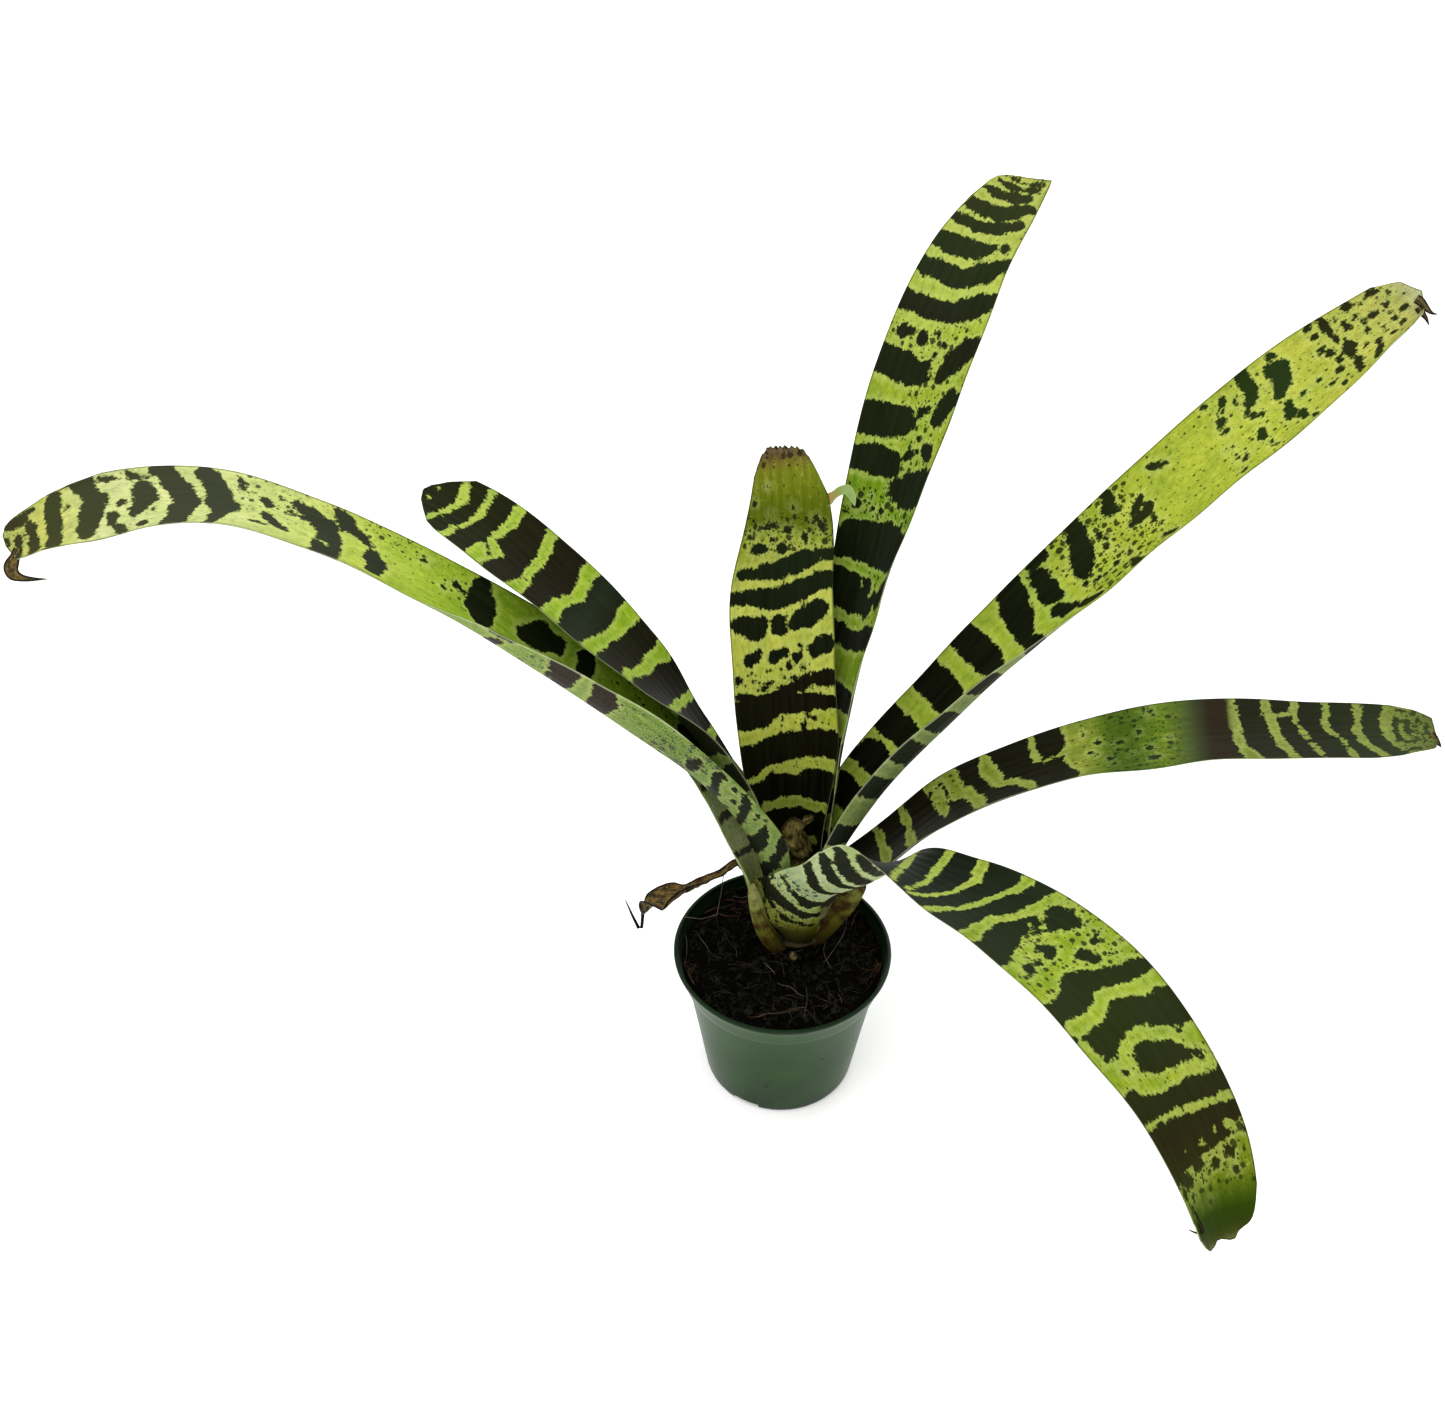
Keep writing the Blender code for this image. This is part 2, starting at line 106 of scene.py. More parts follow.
def laid_over(tree, below, *layers):
    """Lays tones over a colour, each where its pattern is strong.

    A layer is a pattern, its values where the tone starts and where it is full, how much the full
    tone covers, and the tone.
    """
    for pattern, starts, full, cover, tone in layers:
        share = add(tree, "MapRange", [pattern, starts, full, 0.0, cover])
        tone = colour(tone) if isinstance(tone, str) else tone
        below = add(tree, "Mix", {0: share, 6: below, 7: tone}, 2, data_type="RGBA")
    return below


def new_material(name):
    """A Principled material: itself, its node tree and its shader."""
    made = bpy.data.materials.new(name)
    made.use_nodes = True
    return made, made.node_tree, made.node_tree.nodes["Principled BSDF"]


# %% [markdown]
# ## Light and floor
# A catalogue photo of a plant has light from all sides and a white surrounding. A white world fills
# the shadows, a large soft lamp above and in front gives the leaves their sheen, and a second one
# from behind shows their edges. The floor is a white light table, lit a little from below, which is
# how such photos get a ground without shadows.

# %% World, lamps and floor
world = bpy.data.worlds.new("white studio")
bpy.context.scene.world = world
world.use_nodes = True
fill(world.node_tree, world.node_tree.nodes["Background"], {"Color": colour("#FFFFFF"), "Strength": 1.0})
bpy.context.scene.view_settings.view_transform = "Standard"
LAMP_TARGET = Vector((0.0, 0.0, 0.2))
for name, place, size, watts in (
    ("soft lamp above", (-0.5, -0.5, 1.8), 1.3, 15.5),
    ("soft lamp behind", (0.7, 1.1, 1.3), 1.0, 6.0),
):
    lamp_data = bpy.data.lights.new(name, "AREA")
    lamp_data.size = size
    lamp_data.energy = watts
    lamp = bpy.data.objects.new(name, lamp_data)
    lamp.location = place
    lamp.rotation_euler = (LAMP_TARGET - Vector(place)).to_track_quat("-Z", "Y").to_euler()
    bpy.context.scene.collection.objects.link(lamp)

floor_bm = bmesh.new()
bmesh.ops.create_grid(floor_bm, x_segments=1, y_segments=1, size=8.0)
floor_mesh = bpy.data.meshes.new("floor")
floor_bm.to_mesh(floor_mesh)
floor_bm.free()
floor = bpy.data.objects.new("floor", floor_mesh)
bpy.context.scene.collection.objects.link(floor)
# A matt board that glows a little, as a light table does.
floor_paint, tree, shader = new_material("matt white studio floor")
fill(tree, shader, {
    "Base Color": colour("#FBFBFA"), "Roughness": 0.9, "Specular IOR Level": 0.1,
    "Emission Color": colour("#FFFFFF"), "Emission Strength": 0.2})
floor_mesh.materials.append(floor_paint)
print("two lamps, a white world and a floor")

# %% [markdown]
# ## Making pieces
# Every piece here is a bmesh that starts from one of the create operators, is shaped, and becomes an
# object that sits at the origin. Leaves and strips are grids laid on a surface that numpy works out,
# with a UV map in millimetres along and across. Solidify gives them their thickness: it is applied at
# once, because the two faces of a leaf get different colours afterwards.


# %% Helpers for objects
def finished(name, bm, material, stands_for=(), sharp=50.0):
    """Makes the bmesh an object with its finish, riding on the one body of this model."""
    mesh = bpy.data.meshes.new(name)
    bm.to_mesh(mesh)
    bm.free()
    dressed(name, mesh, material, stands_for, sharp)


def dressed(name, mesh, material, stands_for=(), sharp=50.0):
    """Makes the mesh an object with its finish, and hides the CAD solids that it stands for."""
    mesh.materials.clear()
    mesh.materials.append(material)
    mesh.polygons.foreach_set("use_smooth", [True] * len(mesh.polygons))
    mesh.set_sharp_from_angle(angle=math.radians(sharp))
    made = bpy.data.objects.new(name, mesh)
    bpy.context.scene.collection.objects.link(made)
    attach(made, "root")
    if stands_for:
        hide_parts(*stands_for)
    print(name, "has", len(mesh.polygons), "faces")


# %% Helpers for leaves and strips
# One unit of the UV map is this many millimetres.
UV_MM = 100.0


def laid_grid(points, along_mm, aside_mm):
    """A grid whose points are placed by row and column, with a UV map, all from arrays in mm."""
    rows, columns = points.shape[0] - 1, points.shape[1] - 1
    bm = bmesh.new()
    bmesh.ops.create_grid(bm, x_segments=columns, y_segments=rows, size=0.5)
    for vert in bm.verts:
        vert.co = points[round((vert.co.y + 0.5) * rows)][round((vert.co.x + 0.5) * columns)] * MM
    uv_layer = bm.loops.layers.uv.new("leaf")
    bm.verts.index_update()
    for face in bm.faces:
        for loop in face.loops:
            spot = divmod(loop.vert.index, columns + 1)
            loop[uv_layer].uv = (along_mm[spot] / UV_MM, aside_mm[spot] / UV_MM)
    return bm


def with_thickness(bm, thickness, edge_share=1.0, weights=None):
    """A sheet as a closed shell about its middle surface. Its second half is the other face."""
    sheet_mesh = bpy.data.meshes.new("sheet")
    bm.to_mesh(sheet_mesh)
    bm.free()
    sheet = bpy.data.objects.new("sheet", sheet_mesh)
    bpy.context.scene.collection.objects.link(sheet)
    shell = sheet.modifiers.new("thickness", "SOLIDIFY")
    shell.thickness = thickness * MM
    shell.offset = 0.0
    if weights is not None:
        group = sheet.vertex_groups.new(name="middle")
        for index, weight in enumerate(weights):
            group.add([index], weight, "REPLACE")
        shell.vertex_group = "middle"
        shell.thickness_vertex_group = edge_share
    graph = bpy.context.evaluated_depsgraph_get()
    made = bpy.data.meshes.new_from_object(
        sheet.evaluated_get(graph), preserve_all_data_layers=True, depsgraph=graph)
    bpy.data.objects.remove(sheet)
    bpy.data.meshes.remove(sheet_mesh)
    return made


def keep(mesh, key, values):
    """Keeps a number for each point of the mesh as an attribute, or a colour where they are four."""
    kind, field = ("FLOAT", "value") if np.ndim(values) == 1 else ("FLOAT_COLOR", "color")
    layer = mesh.attributes.new(key, kind, "POINT")
    layer.data.foreach_set(field, np.asarray(values, np.float32).ravel())


# %% Helpers for spun bodies and strands
# Points of one place are welded within this many metres.
WELD = 1e-6


def spun(profile, segments):
    """A closed body of revolution from a profile in millimetres that starts and ends on the axis."""
    bm = bmesh.new()
    knots = [bm.verts.new((radius * MM, 0.0, up * MM)) for radius, up in profile]
    edges = [bm.edges.new(pair) for pair in zip(knots[:-1], knots[1:])]
    bmesh.ops.spin(bm, geom=knots + edges, cent=(0, 0, 0), axis=(0, 0, 1), angle=math.tau,
                   steps=segments, use_merge=True)
    bmesh.ops.remove_doubles(bm, verts=bm.verts[:], dist=WELD)
    bmesh.ops.recalc_face_normals(bm, faces=bm.faces[:])
    return bm


def tube(bm, path, radii, sides=6):
    """Adds a round strand along a path, both in millimetres."""
    points = [Vector(p) * MM for p in path]
    last = len(points) - 1
    grid = bmesh.ops.create_grid(bm, x_segments=sides, y_segments=last, size=0.5)["verts"]
    for vert in grid:
        turn = round((vert.co.x + 0.5) * sides) % sides * math.tau / sides
        row = round((vert.co.y + 0.5) * last)
        ahead = (points[min(row + 1, last)] - points[max(row - 1, 0)]).normalized()
        flat = ahead.cross(Vector((0.31, 0.2, 0.93))).normalized()
        other = ahead.cross(flat)
        vert.co = points[row] + (flat * math.cos(turn) + other * math.sin(turn)) * radii[row] * MM
    bmesh.ops.remove_doubles(bm, verts=grid, dist=WELD)


def tapered(radius, count, end_share):
    """The radii of a strand of some points whose two ends are thinner."""
    return [radius * end_share, *[radius] * (count - 2), radius * end_share]


# %% [markdown]
# ## The shape of a leaf
# A vriesea leaf is a strap that wraps the plant with its foot and flattens outwards. Each leaf is a
# table of cross-sections along its middle: how far out, how high, how far to the side, how wide, how
# strongly curled, and how much rolled. A smooth curve runs through the table, and the cross-section
# is an arc. The tables are those of the CAD source, so the fine leaf lies where the plain one lay.

# %% Leaf tables, in millimetres and degrees
PLANT_X, PLANT_Y = 7.0, 19.0
LEAF_THICKNESS = 0.8
THINNEST_CURL = 2.0
LEAF_ROWS = {
    "leaf_1_left": (178, [
        (11.5, 82, 0, 39, 97, 0), (15, 106.5, -1, 44.5, 77.5, 3.5), (26.5, 141.5, -1.5, 60, 59.5, 20.5),
        (47, 178, 3.5, 68, 52, 22.5), (80, 212, 6, 65, 74, 18.5), (125, 248, 2, 56, 67, 13.5),
        (163.5, 280.5, 1.5, 45, 43, 5.5), (208.5, 304, -3, 41, 40, 4.5), (249.5, 314.5, -8.5, 40, 35, -3.5),
        (299, 314, -1, 36.5, 34, -18), (333, 303, 11, 31.5, 48.5, -16)]),
    "leaf_2_upper_left": (163, [
        (8.5, 85, 0, 30, 99, 0), (12.5, 107, -1, 36, 81, 2), (28, 145, 1.5, 42, 61.5, 29.5),
        (48.5, 187, 1.5, 46, 45, 33.5), (79, 226, 2, 47.5, 32, 11.5), (119, 263, 0.5, 45, 26, -4.5),
        (152.5, 288, -0.5, 39, 22.5, -9), (175, 299.5, 0.5, 31.5, 20, -12.5)]),
    "leaf_3_centre": (97, [
        (6, 88.5, 0, 24, 118, 0), (9, 109, 0, 38, 111, -1), (17, 140.5, 2.5, 44.5, 75.5, -4),
        (24.5, 171.5, 2.5, 50, 46, -4), (35, 208, 3.5, 49.5, 29.5, -2.5),
        (47.5, 249.5, 4, 47.5, 18.5, -2.5), (59.5, 286, -0.5, 38, 13.5, 2),
        (73.5, 309, 0.5, 23.5, 11, 9.5)]),
    "leaf_4_upper_right": (56, [
        (7.5, 87, 0, 25, 98, 0), (11, 108.5, 0, 33, 81.5, -1), (30.5, 170.5, 2.5, 38, 63, -17.5),
        (51, 232.5, 2.5, 40.5, 48.5, -27), (69, 289, 1.5, 45, 37.5, -16), (94, 340, 2, 45, 28.5, -3),
        (129.5, 382, 1.5, 38, 19.5, 6.5), (175.5, 408.5, -2.5, 22, 13, 8.5)]),
    "leaf_5_right": (15, [
        (10, 83.5, 0, 34, 96, 0), (14, 106, 0.5, 41.5, 88, -5), (38.5, 156.5, 1, 51, 89, -15),
        (77.5, 204.5, 1.5, 53, 77.5, -13), (118, 253.5, 0.5, 49, 55, 2), (167, 303, 1, 48, 44.5, 9.5),
        (216.5, 349, 0, 45.5, 43.5, 12), (261, 385, -4.5, 39, 52.5, -7.5)]),
    "leaf_6_right_low": (-8, [
        (13, 80.5, 0, 44, 96, 0), (21, 106.5, -0.5, 36.5, 53, -5), (43, 135.5, -3.5, 40, 40.5, -2),
        (69, 168.5, -4, 43, 39, -4), (112, 198, -2, 43.5, 38, -4), (165.5, 220, -0.5, 43, 32.5, 0.5),
        (223, 229, 0.5, 38, 24, 1), (271, 236, 1.5, 27.5, 11.5, 0)]),
    "leaf_7_front_right": (-58, [
        (14.5, 78.5, 0, 46, 92, 0), (17, 91, 1.5, 46, 56.5, 1), (24.5, 117.5, -3, 47, 45, -22.5),
        (45, 148, -4.5, 44.5, 40, -30.5), (66.5, 178.5, -1.5, 43, 39.5, -23),
        (105, 197, -1, 45, 33.5, -7.5), (156.5, 214, 0, 48, 30, 3), (208.5, 215.5, 1.5, 44, 32, 11.5),
        (251, 195.5, 0.5, 39, 42, 5), (275.5, 165, -3.5, 35, 53.5, -8)]),
    "leaf_8_under_left": (168, [
        (16, 77.5, 0, 46, 84, 0), (22, 103.5, 0.5, 48.5, 54, -3), (26.5, 120.5, -0.5, 43.5, 40.5, -1.5),
        (35.5, 140.5, -0.5, 36.5, 30, 2.5), (45.5, 163.5, -1, 27.5, 20.5, 6.5),
        (59.5, 186, -0.5, 17, 11.5, 9)]),
    "dead_leaf": (180, [
        (17, 75.4, -12, 5, 40, 0), (21, 92, -11, 4.5, 40, 0), (26, 109, -8, 4.5, 40, -10),
        (30, 117, -4, 4.5, 40, -20), (36, 115, 0, 5, 50, -20), (45, 109, 0, 6, 60, -10),
        (54, 102.5, 1, 9, 50, 10), (63, 98, 0, 13, 45, -15), (69, 94, 0, 12, 55, 10),
        (76, 85.5, 0, 4, 40, 0)]),
    "dry_centre_leaf": (-60, [
        (0, 89, 0, 5, 60, 0), (0, 108, 0, 7, 70, 20), (1, 124, 1, 13, 60, -20), (1, 138, 0, 16, 40, 30),
        (3, 147, -1, 14, 50, 0), (6, 154, -2, 7, 60, -30)]),
    "young_leaf": (-40, [
        (3.4, 89, 0, 3, 60, 0), (4.5, 104, 0, 5, 70, 0), (7, 117, 0, 7, 70, 0), (11, 128, 0, 3, 50, 0)]),
}
print(len(LEAF_ROWS), "leaf tables")

# %% [markdown]
# The surface is worked out for whole arrays of points at once, which is fast in numpy. A point is
# asked for by its length along the leaf and by its share across it, from -1 at the right edge to 1 at
# the left edge, and comes with the direction that the leaf's upper face looks in.


# %% The leaf's surface
def curve_through(knots, values, at):
    """Smooth rows of values at the lengths asked for, with slopes from the neighbours."""
    values = np.asarray(values, float)
    spans = np.diff(knots)[:, None]
    steps = np.diff(values, axis=0) / spans
    slopes = np.empty_like(values)
    slopes[1:-1] = (steps[1:] * spans[:-1] + steps[:-1] * spans[1:]) / (spans[1:] + spans[:-1])
    slopes[0], slopes[-1] = steps[0], steps[-1]
    k = np.clip(np.searchsorted(knots, at, side="right") - 1, 0, len(knots) - 2)
    span = spans[k]
    s = np.clip((at - knots[k]) / span[..., 0], 0.0, 1.06)[..., None]
    return ((2 * s ** 3 - 3 * s ** 2 + 1) * values[k] + (s ** 3 - 2 * s ** 2 + s) * span * slopes[k]
            + (-2 * s ** 3 + 3 * s ** 2) * values[k + 1] + (s ** 3 - s ** 2) * span * slopes[k + 1])


def unit(vectors):
    """The vectors at length 1."""
    return vectors / np.linalg.norm(vectors, axis=-1)[..., None]


def gone_along(points):
    """The length gone from the first point to each."""
    return np.concatenate([[0.0], np.cumsum(np.linalg.norm(np.diff(points, axis=0), axis=1))])


class Ribbon:
    """A leaf's smooth surface in millimetres."""

    def __init__(self, heading, rows):
        angle = math.radians(heading)
        self.axes = np.array([(math.cos(angle), math.sin(angle), 0.0), (0.0, 0.0, 1.0),
                              (-math.sin(angle), math.cos(angle), 0.0)])
        self.rows = np.asarray(rows, float)
        self.knots = gone_along(self.rows[:, :3])
        self.length = self.knots[-1]

    def row(self, at):
        return curve_through(self.knots, self.rows, at)

    def middle(self, at):
        return np.array([PLANT_X, PLANT_Y, 0.0]) + self.row(at)[..., :3] @ self.axes

    def half_width(self, at):
        return self.row(at)[..., 3] / 2

    def surface(self, at, across):
        """Points and upper-face directions for arrays of lengths and shares across.

        Shares beyond 1 carry straight on past the margin.
        """
        step = self.length * 0.001
        here = np.clip(at, step, self.length - step)
        tangent = unit(self.middle(here + step) - self.middle(here - step))
        left = self.axes[2]
        side = unit(left - (tangent @ left)[..., None] * tangent)
        upper = np.cross(tangent, side)
        row = self.row(at)
        roll = np.radians(row[..., 5:6])
        rolled_side = side * np.cos(roll) + upper * np.sin(roll)
        rolled_upper = upper * np.cos(roll) - side * np.sin(roll)
        half_angle = np.radians(np.maximum(row[..., 4], THINNEST_CURL))
        radius = row[..., 3] / 2 / half_angle
        turn = np.clip(across, -1.0, 1.0) * half_angle
        beyond = (across - np.clip(across, -1.0, 1.0)) * row[..., 3] / 2
        points = (self.middle(at)
                  + rolled_side * (radius * np.sin(turn) + beyond * np.cos(turn))[..., None]
                  + rolled_upper * (radius * (1 - np.cos(turn)) + beyond * np.sin(turn))[..., None])
        faces = rolled_upper * np.cos(turn)[..., None] - rolled_side * np.sin(turn)[..., None]
        return points, faces


ribbons = {name: Ribbon(*entry) for name, entry in LEAF_ROWS.items()}
for name, ribbon in ribbons.items():
    print(name, "is", round(ribbon.length), "mm long")

# %% [markdown]
# ## The cross-bands
# The bands follow the leaf, so they are described on the flattened leaf as brush strokes. A stroke is
# a row of points: length along the leaf, distance from its middle, and the brush's half width, all in
# millimetres. Dark strokes paint bands, light strokes cut gaps into them, and spots go on top. A zone
# is a dark stretch, from its start to its end, whose ends lean. Freckle zones say where small dots
# gather: from, to, right, left and how many. Grounds and bands are colours at lengths along the leaf,
# for the upper and the under face, and a stain is a brown-olive patch on the foot of a sheath. The
# material later roughens the edges of all of them.


# %% Brush strokes
def strokes(text):
    """Reads strokes: points are parted by commas and strokes by semicolons."""
    return [[tuple(map(float, point.split())) for point in stroke.split(",")]
            for stroke in text.split(";") if stroke.strip()]


FAR_OUTSIDE = -30.0
TINY = 1e-6


def stroke_depth(at, q, text):
    """How deep each point lies inside the nearest stroke, in millimetres. Outside is negative."""
    deepest = np.full(at.shape, FAR_OUTSIDE)
    for points in strokes(text):
        if len(points) == 1:
            points = points * 2
        for (a0, q0, r0), (a1, q1, r1) in zip(points[:-1], points[1:]):
            da, dq = a1 - a0, q1 - q0
            share = np.clip(((at - a0) * da + (q - q0) * dq) / max(da * da + dq * dq, TINY), 0, 1)
            away = np.hypot(at - a0 - share * da, q - q0 - share * dq)
            deepest = np.maximum(deepest, r0 + (r1 - r0) * share - away)
    return deepest


